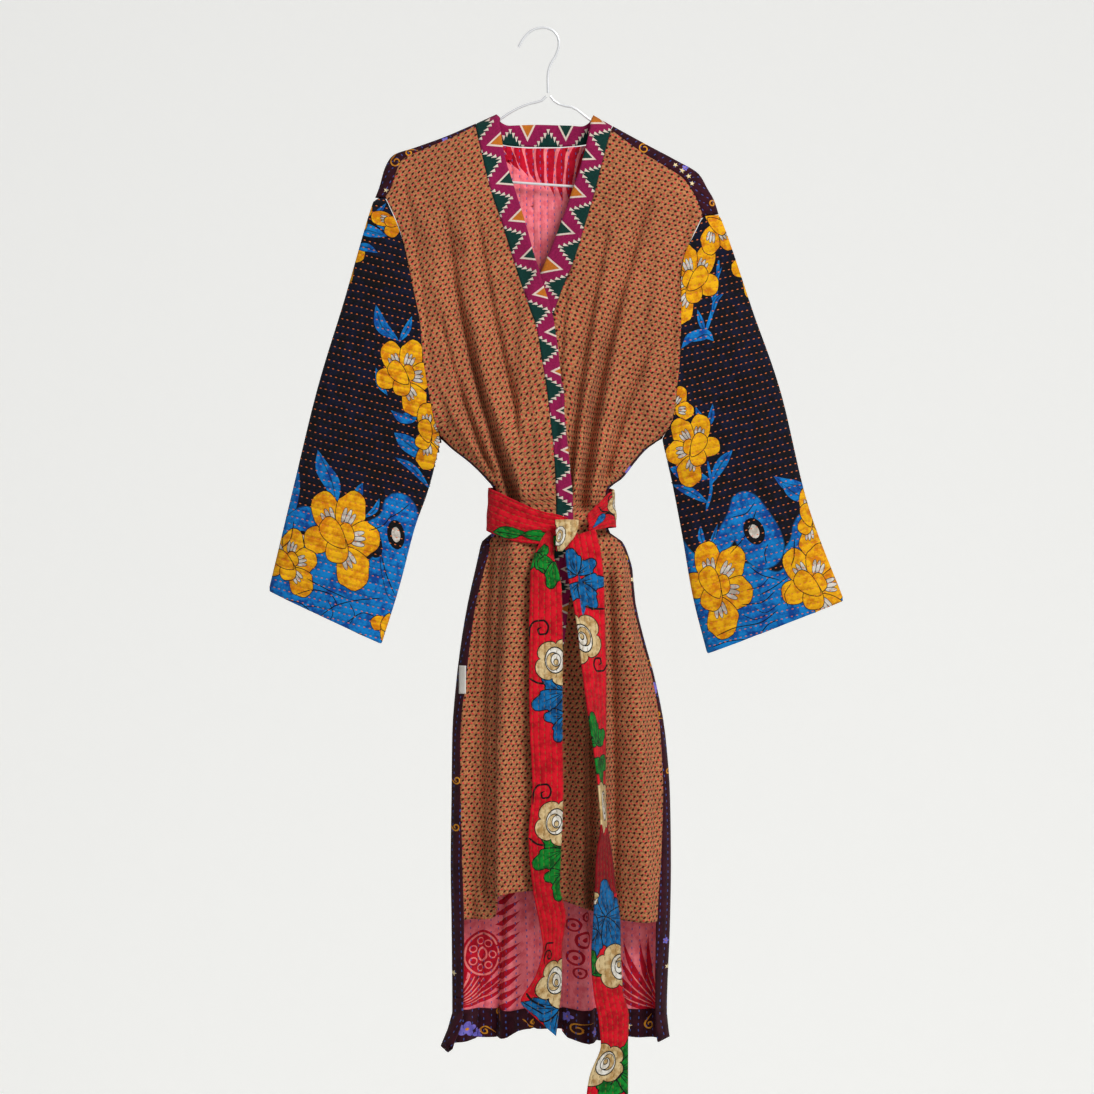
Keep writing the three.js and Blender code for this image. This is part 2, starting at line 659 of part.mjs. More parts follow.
function beltLoop(u, v) {
  const turn = lerp(BELT_LOOP[0].turn, BELT_LOOP.at(-1).turn, u);
  const angle = THREE.MathUtils.degToRad(turn);
  const power = 2 / RING.power;
  const bent = (value) => Math.sign(value) * Math.abs(value) ** power;
  const push = 1 + lookup(BELT_LOOP, 'turn', turn, 'push') / RING.halfDepth;
  const middle = lookup(BELT_LOOP, 'turn', turn, 'z');
  const half = lookup(BELT_LOOP, 'turn', turn, 'halfWidth');
  return new THREE.Vector3(
    RING.x + RING.halfWidth * (1 + RING.flare * v) * bent(Math.cos(angle)),
    RING.y + RING.halfDepth * push * bent(Math.sin(angle)),
    middle + half * (1 - 2 * v),
  );
}

// The wrap's middle stands out a little over its edges.
const knotWrap = (u, v) => new THREE.Vector3(
  lerp(rowAt(KNOT, v, 'left'), rowAt(KNOT, v, 'right'), u),
  rowAt(KNOT, v, 'y') - 1.5 * Math.sin(Math.PI * u),
  rowAt(KNOT, v, 'z'),
);

const tail = (rows) => (u, v) => new THREE.Vector3(
  lerp(rowAt(rows, v, 'leftX'), rowAt(rows, v, 'rightX'), u),
  lerp(rowAt(rows, v, 'leftY'), rowAt(rows, v, 'rightY'), u) - 2 * Math.sin(Math.PI * u),
  lerp(rowAt(rows, v, 'leftZ'), rowAt(rows, v, 'rightZ'), u),
);

// ---------------------------------------------------------------- the band behind the neck, and the label

const backBand = (across, down) => {
  const u = Math.min(1 - BACK_BAND_GAP, Math.max(BACK_BAND_GAP, across));
  const v = down * (1 - BACK_BAND_GAP);
  const x = lerp(rowAt(BACK_BAND, u, 'edgeX'), rowAt(BACK_BAND, u, 'seamX'), v);
  const z = lerp(rowAt(BACK_BAND, u, 'edgeZ'), rowAt(BACK_BAND, u, 'seamZ'), v);
  return new THREE.Vector3(x, halfDepth(x, z, 'back'), z);
};

const label = (u, v) => {
  const x = lerp(LABEL.left, LABEL.right, u);
  const z = lerp(LABEL.top, LABEL.foot, v);
  return new THREE.Vector3(x, -halfDepth(x, z, 'front') - LABEL_LIFT, z);
};

// ---------------------------------------------------------------- walls and wires

// A closed wall over a grid of a surface's points. near and far are the distances of
// its two faces from the surface, along the direction u x v.
function wall(surface, us, vs, near, far, closed = false) {
  const step = 1e-3;
  const normalAt = (u, v) => {
    const wrap = (value) => (closed ? (value + 1) % 1 : clamp(value));
    const across = surface(wrap(u + step), v).sub(surface(wrap(u - step), v));
    const down = surface(u, clamp(v + step)).sub(surface(u, clamp(v - step)));
    return across.cross(down).normalize();
  };
  const [columns, rows] = [us.length, vs.length];
  const positions = [];
  for (const offset of [near, far]) {
    for (const v of vs) {
      for (const u of us) {
        const point = surface(u, v).addScaledVector(normalAt(u, v), offset);
        positions.push(point.x, point.y, point.z);
      }
    }
  }
  const id = (layer, i, j) => layer * columns * rows + j * columns + (i % columns);
  const faces = [];
  const quad = (a, b, c, d) => faces.push(a, b, c, a, c, d);
  const spans = closed ? columns : columns - 1;
  for (let j = 0; j < rows - 1; j += 1) {
    for (let i = 0; i < spans; i += 1) {
      quad(id(1, i, j), id(1, i + 1, j), id(1, i + 1, j + 1), id(1, i, j + 1));
      quad(id(0, i, j), id(0, i, j + 1), id(0, i + 1, j + 1), id(0, i + 1, j));
    }
    if (!closed) {
      const end = columns - 1;
      quad(id(0, 0, j), id(1, 0, j), id(1, 0, j + 1), id(0, 0, j + 1));
      quad(id(0, end, j), id(0, end, j + 1), id(1, end, j + 1), id(1, end, j));
    }
  }
  for (let i = 0; i < spans; i += 1) {
    quad(id(0, i, 0), id(0, i + 1, 0), id(1, i + 1, 0), id(1, i, 0));
    quad(id(0, i, rows - 1), id(1, i, rows - 1), id(1, i + 1, rows - 1), id(0, i + 1, rows - 1));
  }
  const geometry = new THREE.BufferGeometry();
  geometry.setAttribute('position', new THREE.Float32BufferAttribute(positions, 3));
  geometry.setIndex(faces);
  geometry.computeVertexNormals();
  return geometry;
}

function wire(points, steps) {
  const path = new THREE.CatmullRomCurve3(points.map(([x, z]) => new THREE.Vector3(x, 0, z)));
  const section = new THREE.Shape();
  for (let i = 0; i < WIRE_SIDES; i += 1) {
    const angle = (2 * Math.PI * i) / WIRE_SIDES;
    const [x, y] = [WIRE_RADIUS * Math.cos(angle), WIRE_RADIUS * Math.sin(angle)];
    if (i === 0) section.moveTo(x, y);
    else section.lineTo(x, y);
  }
  return new THREE.ExtrudeGeometry(section, { steps, bevelEnabled: false, extrudePath: path });
}

// ---------------------------------------------------------------- assembly

const material = (color, roughness, metalness = 0) =>
  new THREE.MeshStandardMaterial({ color, roughness, metalness });
const LOOKS = {
  tan: ['#a8744c', 0.95],
  plum: ['#45181f', 0.95],
  sleeve: ['#1a1d2b', 0.95],
  band: ['#7d1f52', 0.95],
  belt: ['#cf1b2b', 0.9],
  label: ['#ece7de', 0.9],
  wire: ['#d9dadc', 0.35, 0.2],
};

const robe = new THREE.Group();
function add(name, geometry, look) {
  const mesh = new THREE.Mesh(geometry, material(...LOOKS[look]));
  mesh.name = name;
  robe.add(mesh);
}

const shoulderShares = range(SHOULDERS.left.length - 1);
const midpoints = (list) => list.flatMap((value, i) => (i ? [(list[i - 1] + value) / 2, value] : [value]));
const frontColumns = midpoints(shoulderShares);
const frontRows = range(FRONT_ROWS.length + 1);
const bandRows = range(FRONT_ROWS.length + 2);

for (const side of ['left', 'right']) {
  const sign = side === 'left' ? 1 : -1; // the right front runs the other way across
  const inner = [sign > 0 ? 0 : -CLOTH, sign > 0 ? CLOTH : 0];
  add(`front_${side}`, wall(frontPanel(side), frontColumns, frontRows, ...inner), 'tan');
  const bandFaces = [sign > 0 ? 0 : -BAND_CLOTH, sign > 0 ? BAND_CLOTH : 0];
  add(`neckband_${side}`, wall(neckband(side), range(3), bandRows, ...bandFaces), 'band');
  const round = range(2 * (armholeLine(side).length - 1)).slice(0, -1);
  add(`sleeve_${side}`, wall(sleeve(side), round, SLEEVE_ROWS, ...inner, true), 'sleeve');
}

const backColumns = range(BACK_COLUMNS);
const backRows = range(BACK_LAST);
add('back', wall(backPanel, backColumns, backRows, -CLOTH, 0), 'plum');
const facingRow = 3 + BACK_ROWS.indexOf(FACING_TOP);
const facingColumns = backColumns.slice(SIDE_COLUMNS, -SIDE_COLUMNS);
const facingInside = -CLOTH - FACING_GAP;
add('hem_facing', wall(backPanel, facingColumns, backRows.slice(facingRow),
  facingInside - FACING_CLOTH, facingInside), 'plum');
add('neckband_back', wall(backBand, range(BACK_BAND.length - 1), range(3), -BAND_CLOTH, 0), 'band');
add('label', wall(label, range(LABEL.columns), range(LABEL.rows), -LABEL_CLOTH, 0), 'label');

const beltTurns = Math.round((BELT_LOOP[0].turn - BELT_LOOP.at(-1).turn) / BELT_STEP);
add('belt_loop', wall(beltLoop, range(beltTurns), range(3), -BELT_CLOTH, 0), 'belt');
add('belt_knot', wall(knotWrap, range(4), range(KNOT.length - 1), -BELT_CLOTH, 0), 'belt');
for (const side of ['left', 'right']) {
  const rows = TAILS[side];
  add(`belt_end_${side}`, wall(tail(rows), range(3), range(rows.length - 1), -BELT_CLOTH, 0), 'belt');
}

add('hanger_hook', wire(HANGER.hook, 36), 'wire');
add('hanger_left', wire(HANGER.left, 30), 'wire');
add('hanger_right', wire(HANGER.right, 30), 'wire');
add('hanger_bar', wire(HANGER.bar, 8), 'wire');

export default robe;
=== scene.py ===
"""A long kimono robe of quilted cotton, tied with its belt and hung on a wire hanger.

Each cloth piece is a closed thin wall over the form that its CAD solid has, with finer folds,
its printed flowers, and its stitches. Lengths are in millimetres until a mesh is made.
"""

import bpy
import numpy as np
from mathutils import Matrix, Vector
from mathutils.geometry import delaunay_2d_cdt


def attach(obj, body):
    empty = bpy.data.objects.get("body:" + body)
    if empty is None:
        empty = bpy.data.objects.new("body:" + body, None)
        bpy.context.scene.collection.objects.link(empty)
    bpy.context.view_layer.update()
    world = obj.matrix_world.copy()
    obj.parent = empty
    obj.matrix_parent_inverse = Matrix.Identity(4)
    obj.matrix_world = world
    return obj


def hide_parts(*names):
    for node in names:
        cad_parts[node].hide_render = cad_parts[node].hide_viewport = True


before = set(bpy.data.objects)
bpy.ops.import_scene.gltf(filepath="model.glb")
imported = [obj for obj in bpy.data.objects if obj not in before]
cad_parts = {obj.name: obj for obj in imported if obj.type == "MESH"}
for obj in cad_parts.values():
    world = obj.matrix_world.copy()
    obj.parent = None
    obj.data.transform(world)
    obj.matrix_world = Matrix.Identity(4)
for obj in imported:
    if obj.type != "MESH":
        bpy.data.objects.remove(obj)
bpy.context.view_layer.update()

# ------------------------------------------------------------------ sizes, as in the CAD part

# Thicknesses of the cloths.
CLOTH = 2.2
BAND_CLOTH = 2.8
BELT_CLOTH = 2.4
FACING_CLOTH = 1.0
LABEL_CLOTH = 0.8
# Gaps between pieces, and how far some stand out from what they lie on.
SEAM_GAP = 0.4
FACING_GAP = 0.3
LABEL_LIFT = 1.0
BAND_RISE = 0.5
# The form: how far in the folded edges are round, how the left front laps over the right one,
# and how folds start, fade, grow and sink.
ROUNDING = 45.0
LAP_RISE = 6.0
LAP_RUN = 18.0
FLAT_EDGE = 4.0
FOLD_ONSET = 14.0
UNDERARM = -500.0
SIDE_TURN = 12.0
FOLD_FADE = 26.0
RIDGE_POWER = 0.72
FOLD_GROWTH = 0.62
UNDERLAP = 7.0
UNDERLAP_SLACK = 34.0
TROUGH_CORE = 0.45
SLEEVE_BLEND = 3.0
SLEEVE_BOXINESS = 0.75


def table(columns, rows):
    """A dict of arrays, one for each named column."""
    return dict(zip(columns.split(), np.array(rows, float).T))


DEPTH = table("z front back", [
    (-104, 14, 14), (-206, 16, 15), (-360, 21, 16), (-500, 24, 17),
    (-585, 26, 19), (-650, 27, 21), (-1085, 28, 22), (-1240, 28, 24),
])
SIDES = table("z left right leftStrip rightStrip", [
    (-500, -126, 144, 3, 3), (-512, -113, 126, 3, 3), (-530, -90, 110, 3, 3),
    (-548, -72, 96, 3, 3), (-562, -61.5, 79, 3, 3), (-585, -60, 77, 3, 3),
    (-612, -62, 79, 4, 3), (-626, -76, 96, 9, 3), (-642, -80, 103, 11, 3),
    (-660, -84, 108, 10, 3), (-695, -92, 111, 9, 3), (-740, -100, 121, 10, 3),
    (-795, -107, 136, 11, 3), (-860, -112, 148, 10, 6), (-940, -113, 154, 11, 9),
    (-1020, -114, 155, 14, 13), (-1085, -113, 154, 15, 17), (-1198, -112, 150, 13, 14),
    (-1240, -126, 155, 14, 16),
])
SHOULDERS = {
    "left": table("seamX seamZ foldX foldZ", [
        (-193, -206, -206, -206), (-187, -197, -201, -193), (-181, -178, -194, -169),
        (-173, -161, -184, -154), (-153, -150, -157, -144.5), (-119, -136, -121, -131.5),
        (-84, -118.5, -82.5, -115),
    ]),
    "right": table("seamX seamZ foldX foldZ", [
        (193, -229, 213, -226), (189, -217, 208, -210), (181, -199, 199, -194),
        (171, -185, 189, -177), (148, -169, 160, -159.5), (117, -150, 127, -142),
        (82, -124, 84, -118.5),
    ]),
}
NECK_FOLD = {"left": (-58, -104), "right": (60, -105)}
ARMHOLES = {
    "left": table("z x", [
        (-206, -193), (-239, -178), (-273, -168), (-317, -159), (-361, -150),
        (-398, -147), (-430, -142), (-473, -134), (-500, -126),
    ]),
    "right": table("z x", [
        (-229, 193), (-255, 180), (-273, 171), (-305, 166), (-361, 166),
        (-398, 165), (-442, 161), (-473, 157), (-500, 144),
    ]),
}
BANDS = {
    "left": table("z seam edge", [
        (-118.5, -84, -54), (-160, -74.5, -47), (-200, -64.5, -34.5), (-240, -51, -22),
        (-285, -37, -10), (-320, -25.5, 1), (-345, -17, 9), (-365, -9.5, 13),
        (-400, -3.5, 18), (-440, 3, 21.5), (-482, 8, 26), (-520, 12, 30),
        (-585, 14.5, 35), (-653, 12, 35), (-715, 5, 28), (-783, -3, 21),
        (-900, -8, 15), (-1090, -3, 18),
    ]),
    "right": table("z seam edge", [
        (-118.5, 83.5, 57), (-160, 72, 47), (-200, 62, 34), (-240, 50, 20),
        (-285, 36, 2), (-320, 22, -12), (-345, 13, -18), (-365, 8, -21),
        (-400, 4, -24), (-482, 3, -24), (-585, 3, -24), (-783, 2, -25), (-1090, 0, -27),
    ]),
}
HEMS = {
    "left": table("x z", [
        (-100, -1085), (-62, -1081), (-54, -1058), (-37, -1052), (-12, -1046), (12, -1046),
    ]),
    "right": table("x z", [
        (-30, -1043), (21, -1059), (59, -1072), (93, -1083), (140, -1085),
    ]),
    "back": table("x z", [
        (-127, -1243), (-81, -1235), (-42, -1232), (-30, -1224), (18, -1223),
        (32, -1235), (64, -1238), (102, -1232), (148, -1233), (156, -1227),
    ]),
}
FRONT_HEM_SIDE = -1085.0
FACING_TOP = -1198.0

# Folds run from (topX, top) to (footX, foot). Those below 0 are troughs.
FOLD_COLUMNS = "top topX foot footX bow halfWidth topRise footRise lean"
FOLDS = {
    "left": table(FOLD_COLUMNS, [
        (-210, -122, -566, -38, -9, 14, -2, -27, 0.1),
        (-300, -104, -562, -24, -4, 13, 3, 10, -0.3),
        (-220, -84, -560, -8, -6, 10, -3, -14, 0),
        (-360, -124, -548, -60, -6, 9, -4, -15, 0),
        (-430, -128, -556, -56, -6, 8, 2, 7, 0),
        (-500, -84, -562, -54, 0, 5, -2, -8, 0),
        (-200, -168, -400, -140, 3, 9, -4, -4, 0),
        (-230, -146, -470, -108, 6, 13, 2, 5, 0),
        (-220, -102, -480, -66, 4, 9, 2, 4, 0),
        (-300, -30, -560, 2, -3, 6, 1.5, 4, 0),
        (-340, -24, -560, -8, -2, 5, -2, -6, 0),
        (-632, -26, -1090, -31, -3, 28, 11, 27, -0.85),
        (-636, -66, -1040, -72, -4, 14, -15, -15, 0),
        (-660, -84, -1090, -88, 0, 24, -8, -14, 0),
        (-640, 4, -1090, -4, 0, 13, 3, 6, 0),
        (-660, -46, -1000, -44, 2, 6, 2, 3, 0),
        (-700, -20, -1060, -22, 2, 7, -1.5, -4, 0),
        (-680, -80, -900, -100, 3, 6, -3, -3, 0),
    ]),
    "right": table(FOLD_COLUMNS, [
        (-200, 130, -575, 46, -10, 14, -3, -26, 0),
        (-300, 104, -572, 62, -4, 12, 2, 9, 0),
        (-260, 74, -578, 28, -5, 10, -4, -18, 0),
        (-380, 132, -570, 70, -6, 9, -4, -18, 0),
        (-470, 132, -568, 74, -3, 8, 2, 6, 0),
        (-250, 84, -560, 40, -5, 10, 2, 6, 0),
        (-230, 176, -420, 152, -3, 9, -4, -4, 0),
        (-250, 148, -460, 126, -4, 11, 2, 5, 0),
        (-260, 44, -520, 20, -4, 8, 2, 3, 0),
        (-300, 28, -560, 14, -2, 6, -2, -7, 0),
        (-740, 42, -1090, 40, 0, 15, 8, 17, 0.3),
        (-640, 52, -1090, 57, 0, 8, -12, -13, 0),
        (-640, 64, -1090, 72, 0, 10, 6, 12, 0.2),
        (-680, 78, -1090, 86, 3, 11, -10, -13, 0),
        (-640, 92, -1090, 116, 6, 24, 9, 17, 0.35),
        (-640, 100, -980, 134, 4, 7, -4, -4, 0),
        (-700, 114, -1090, 142, 2, 8, 2, 4, 0),
        (-760, 22, -1050, 22, 2, 6, 1, 2, 0),
    ]),
    "back": table(FOLD_COLUMNS, [
        (-420, -70, -560, -38, 0, 15, 1, 7, 0),
        (-400, -20, -560, -10, 0, 15, 1, 6, 0),
        (-430, 34, -560, 20, 0, 15, 1, 6, 0),
        (-410, 84, -560, 52, 0, 16, 1, 7, 0),
        (-630, -40, -1250, -84, 0, 13, 3, -5, 0),
        (-630, -14, -1250, -40, 0, 16, 6, 25, -0.3),
        (-630, 2, -1250, -14, 0, 11, -2, -6, 0),
        (-630, 10, -1250, 24, 0, 9, -1, -7, 0),
        (-630, 20, -1250, 48, 0, 15, 6, 26, 0.25),
        (-630, 50, -1250, 78, 0, 12, -1, -5, 0),
        (-630, 70, -1250, 118, 0, 20, 4, 10, 0),
        (-630, -60, -1250, -100, 0, 12, 2, 7, 0),
        (-200, -110, -430, -80, -6, 12, 0.6, 2.4, 0),
        (-190, 118, -440, 86, 6, 12, 0.6, 2.4, 0),
        (-260, -44, -520, -30, 3, 8, 0.6, 2.0, 0),
        (-250, 40, -520, 34, -3, 8, 0.6, 2.0, 0),
        (-150, -20, -330, -12, 3, 10, -1.5, -2.0, 0),
        (-700, 0, -1180, 4, 3, 9, 1.0, 2.0, 0),
    ]),
}
SLEEVES = {
    "left": table("share outerX outerZ innerX innerZ half", [
        (0, -206, -206, -126, -500, 16), (0.25, -240.5, -321, -140, -559, 14),
        (0.5, -276, -437, -157, -607, 15), (0.75, -306, -560, -176, -679, 16),
        (1, -336, -685, -198, -750, 19),
    ]),
    "right": table("share outerX outerZ innerX innerZ half", [
        (0, 213, -226, 144, -500, 16), (0.25, 252, -337, 155, -548, 14),
        (0.5, 288, -440, 168, -615, 15), (0.75, 322, -580, 181, -690, 16),
        (1, 366, -697, 199, -762, 19),
    ]),
}
RING = {"x": 9, "y": -9.5, "halfWidth": 77, "halfDepth": 35, "power": 2.6, "flare": 0.03}
BELT_LOOP = table("turn z halfWidth push", [
    (-80, -614, 17, 2), (-100, -607, 21, 1), (-120, -600, 25, 0.5), (-145, -591, 26, 0),
    (-180, -585.5, 25.5, 0), (-225, -584, 25, 0), (-270, -583, 25, 0), (-315, -584, 25, 0),
    (-360, -585.5, 22.5, 0), (-385, -587, 20.5, 1), (-405, -594, 16, 5), (-421, -603, 11, 10),
])
KNOT = table("z left right y", [
    (-604, 15, 40, -51), (-599, 14, 41, -54), (-600, 13, 41.5, -59), (-608, 13.5, 41, -63),
    (-618, 14.5, 37.5, -64.5), (-628, 14, 30, -63), (-636, 14.5, 23, -59), (-637, 15, 22, -54),
    (-633, 15.5, 22, -51),
])
TAIL_COLUMNS = "leftX leftZ leftY rightX rightZ rightY"
TAILS = {
    "left": table(TAIL_COLUMNS, [
        (4, -612, -50, 11, -616, -50), (-5, -626, -53, 11.5, -628, -51),
        (-11, -640, -55, 12, -642, -52), (-16, -660, -57, 17.5, -660, -56),
        (-17, -685, -57, 21.5, -685, -57), (-18, -738, -57, 22.5, -738, -56),
        (-18, -792, -58, 22.5, -792, -56), (-17, -854, -59, 22.5, -854, -56),
        (-14, -917, -60, 23.5, -917, -56), (-18.5, -980, -60, 21.5, -980, -56),
        (-13, -1044, -60, 19.5, -1040, -56), (-6, -1080, -59, 27, -1076, -55),
        (-1.5, -1112, -58, 22, -1112, -54), (-10, -1145, -57, 21.5, -1152, -53),
        (-28, -1176, -57, 18, -1190, -52), (-24, -1184, -56, 14.6, -1219, -52),
    ]),
    "right": table(TAIL_COLUMNS, [
        (25, -622, -53, 62, -610, -53), (26, -645, -56, 69, -640, -55),
        (30, -675, -58, 72, -672, -55), (35, -700, -62, 73, -700, -56),
        (41, -735, -68, 74, -735, -56), (47, -785, -77, 75, -785, -56),
        (53.5, -830, -85, 75, -830, -56), (61, -875, -91, 74.5, -875, -56),
        (66, -916, -95, 74, -916, -56), (69, -960, -95, 76, -960, -56),
        (63.5, -1000, -90, 82, -1000, -56), (61.5, -1045, -84, 87, -1045, -55),
        (59, -1085, -77, 92, -1085, -55), (57, -1126, -70, 92.5, -1126, -54),
        (59.5, -1165, -66, 95, -1165, -54), (66, -1200, -62, 102, -1195, -54),
        (68, -1228, -60, 101, -1228, -54), (54, -1268, -58, 101, -1266, -54),
        (50, -1299, -58, 101, -1299, -54), (48, -1330, -58, 99, -1334, -54),
        (45, -1352, -58, 98, -1370, -54),
    ]),
}
BACK_BAND = table("seamX seamZ edgeX edgeZ", [
    (-82.5, -115, -58, -104), (-78.5, -121, -56, -108), (-72, -129, -53, -112),
    (-56, -138.5, -43, -116), (-36, -142, -29, -115.5), (-12, -143, -10, -115),
    (14, -143, 12, -115.5), (38, -141.5, 32, -116), (57, -138.5, 46, -117),
    (73, -131, 55, -113), (79.5, -125, 58, -109), (84, -118.5, 60, -105),
])
BACK_BAND_GAP = 0.035
BACK_BAND_WIDTH = 27.0
LABEL = {"left": -103.5, "right": -95, "top": -776, "foot": -810}

# ------------------------------------------------------------------ small helpers


def lerp(a, b, t):
    """The place at share t from a to b."""
    return a + (b - a) * t


def smooth(t):
    """0 up to 0, 1 from 1, soft between."""
    t = np.clip(t, 0, 1)
    return t * t * (3 - 2 * t)


def curve(rows, key, place, column):
    """One column of a table at places along another, with smooth slopes that never overshoot."""
    along, values, place = rows[key], rows[column], np.asarray(place, float)
    if along[-1] < along[0]:
        along, place = -along, -place
    rate = np.diff(values) / np.diff(along)
    before, after = rate[:-1], rate[1:]
    total = np.where(np.abs(before + after) < 1e-12, 1, before + after)
    middle = np.where(before * after > 0, 2 * before * after / total, 0)
    slope = np.concatenate([rate[:1], middle, rate[-1:]])
    x = np.clip(place, along[0], along[-1])
    k = np.clip(np.searchsorted(along, x, side="right") - 1, 0, len(along) - 2)
    span = along[k + 1] - along[k]
    t = (x - along[k]) / span
    return (
        (2 * t**3 - 3 * t**2 + 1) * values[k] + (t**3 - 2 * t**2 + t) * span * slope[k]
        + (3 * t**2 - 2 * t**3) * values[k + 1] + (t**3 - t**2) * span * slope[k + 1]
    )


def row_at(rows, share, column):
    """A column at a share from 0 to 1 of the table's rows, smoothly."""
    count = len(rows[column])
    return curve({"row": np.arange(count), column: rows[column]}, "row",
                 np.asarray(share) * (count - 1), column)


def line_at(rows, share, name):
    """Points (x, z) at shares of a table's rows, of its columns nameX and nameZ."""
    return np.stack([row_at(rows, share, name + "X"), row_at(rows, share, name + "Z")], 1)


def at_heights(rows, z, column):
    """Points (x, z) of a column of x at heights z."""
    return np.stack([curve(rows, "z", z, column), z], 1)


def hem_line(name, x):
    """Points (x, z) of a hem."""
    return np.stack([x, curve(HEMS[name], "x", x, "z")], 1)


def rectangle(x, y):
    """An outline with points at all x and y, which start at its first corner."""
    return np.concatenate([
        np.stack([x, np.full(len(x), y[0])], 1),
        np.stack([np.full(len(y), x[-1]), y], 1)[1:-1],
        np.stack([x[::-1], np.full(len(x), y[-1])], 1),
        np.stack([np.full(len(y), x[0]), y[::-1]], 1)[1:-1],
    ])


def inside(polygon, points):
    """Whether each point lies in a polygon."""
    x, y = points[:, 0], points[:, 1]
    hit = np.zeros(len(points), bool)
    ax, ay = polygon[-1]
    for bx, by in polygon:
        if ay != by:
            hit ^= ((ay > y) != (by > y)) & (x < (bx - ax) * (y - ay) / (by - ay) + ax)
        ax, ay = bx, by
    return hit


def nearest_on(line, points):
    """For each point, its distance to a line of points, and the nearest place on it."""
    best = np.full(len(points), np.inf)
    place = np.zeros_like(points)
    for a, b in zip(line[:-1], line[1:]):
        d = b - a
        t = np.clip((points - a) @ d / max(d @ d, 1e-12), 0, 1)
        foot = a + t[:, None] * d
        far = np.linalg.norm(points - foot, axis=1)
        closer = far < best
        best[closer], place[closer] = far[closer], foot[closer]
    return best, place


def sideways(line):
    """Unit vectors across a line at its points."""
    along = np.gradient(line, axis=0)
    across = np.stack([-along[:, 1], along[:, 0]], 1)
    return across / np.linalg.norm(across, axis=1)[:, None]


def spaced(line, step):
    """The line again, with points about step apart, its corners kept."""
    out = [line[:1]]
    for a, b in zip(line[:-1], line[1:]):
        count = max(1, int(round(np.linalg.norm(b - a) / step)))
        out.append(a + (b - a) * (np.arange(1, count + 1) / count)[:, None])
    return np.concatenate(out)


# ------------------------------------------------------------------ the robe's form


def shoulder_line(side):
    line = line_at(SHOULDERS[side], np.linspace(1, 0, 31), "fold")
    return np.concatenate([[NECK_FOLD[side]], line])


def side_line(side):
    z = np.concatenate([np.arange(-500, -660, -5), np.arange(-660, -1240, -20), [-1240]])
    return at_heights(SIDES, z, side)


FOLDED_EDGES = [line(side) for line in (shoulder_line, side_line) for side in ("left", "right")]


def inset_at(points):
    """How far points (x, z) lie from the robe's folded edges."""
    return np.min([nearest_on(line, points)[0] for line in FOLDED_EDGES], axis=0)


def half_depth(z, face, inset):
    """How far a face lies from the middle plane, round at the folded edges."""
    t = 1 - np.minimum(1, inset / ROUNDING)
    return curve(DEPTH, "z", z, face) * np.sqrt(np.maximum(0, 1 - t * t))


def folds_at(folds, x, z, inset):
    """How far the folds stand out at each point, and how far their crests lean sideways."""
    rise, shift = np.zeros_like(x), np.zeros_like(x)
    for k in range(len(folds["top"])):
        f = {name: column[k] for name, column in folds.items()}
        t = np.clip((f["top"] - z) / (f["top"] - f["foot"]), 0, 1)
        beyond = np.maximum(np.maximum(z - f["top"], f["foot"] - z), 0)
        middle = lerp(f["topX"], f["footX"], t) + f["bow"] * 4 * t * (1 - t)
        away = np.minimum(1, np.abs(x - middle) / f["halfWidth"])
        rising = lerp(f["topRise"], f["footRise"], t**FOLD_GROWTH)
        bell = 0.5 * (1 + np.cos(np.pi * away))
        core = 0.5 * (1 + np.cos(np.pi * np.minimum(1, away / TROUGH_CORE)))
        shape = np.where(rising > 0, bell**RIDGE_POWER, 0.5 * (bell + core))
        here = rising * shape * (1 - smooth(beyond / FOLD_FADE))
        rise += here
        shift += here * f["lean"]
    share = smooth((inset - FLAT_EDGE) / FOLD_ONSET)
    return rise * share, shift * share


# Directions and lengths of the small waves that quilting leaves in the cloth.
WAVES = table("turn length rise phase", [
    (12, 31, 0.34, 0.3), (96, 22, 0.26, 1.9), (63, 47, 0.42, 2.7), (151, 38, 0.30, 4.4),
    (87, 15, 0.16, 0.9), (34, 63, 0.46, 5.1), (118, 27, 0.22, 3.6), (5, 18, 0.14, 2.2),
])


def puckers(x, z, seed=0.0):
    """Uneven small waves, in millimetres."""
    total = np.zeros_like(x)
    for k in range(len(WAVES["turn"])):
        angle = np.radians(WAVES["turn"][k] + 17 * seed)
        along = (x * np.cos(angle) + z * np.sin(angle)) / WAVES["length"][k]
        total += WAVES["rise"][k] * np.sin(2 * np.pi * along + WAVES["phase"][k] * (1 + seed))
    return total


def front_point(side, points):
    """Points of a front's outer face over points (x, z)."""
    x, z = points[:, 0], points[:, 1]
    inset = inset_at(points)
    rise, shift = folds_at(FOLDS[side], x, z, inset)
    soft = puckers(x, z, 1.0 if side == "left" else 2.0) * smooth((inset - 3) / 12)
    y = -half_depth(z, "front", inset) - rise - soft
    if side == "left":
        under = curve(BANDS["right"], "z", z, "edge")
        y -= LAP_RISE * smooth((x - under + LAP_RUN) / LAP_RUN)
        clear = lerp(UNDERLAP_SLACK, -UNDERLAP, smooth((x - under + LAP_RUN) / (0.8 * LAP_RUN)))
        y = np.minimum(y, front_point("right", points)[:, 1] + clear)
    return np.stack([x + shift, y, z], 1)


# ------------------------------------------------------------------ charts: flat shapes cut into triangles

# How far from a folded edge the rows of points lie that make it round.
FOLD_ROWS = (0.35, 1.1, 2.3, 4.0, 6.3, 9.3, 13.0)


def staggered_grid(low, high, pitch):
    rows = np.arange(low[1] + 0.4 * pitch, high[1], 0.87 * pitch)
    return np.concatenate([
        np.stack([x := np.arange(low[0] + (k % 2) * pitch / 2, high[0], pitch),
                  np.full(len(x), y)], 1)
        for k, y in enumerate(rows)
    ])


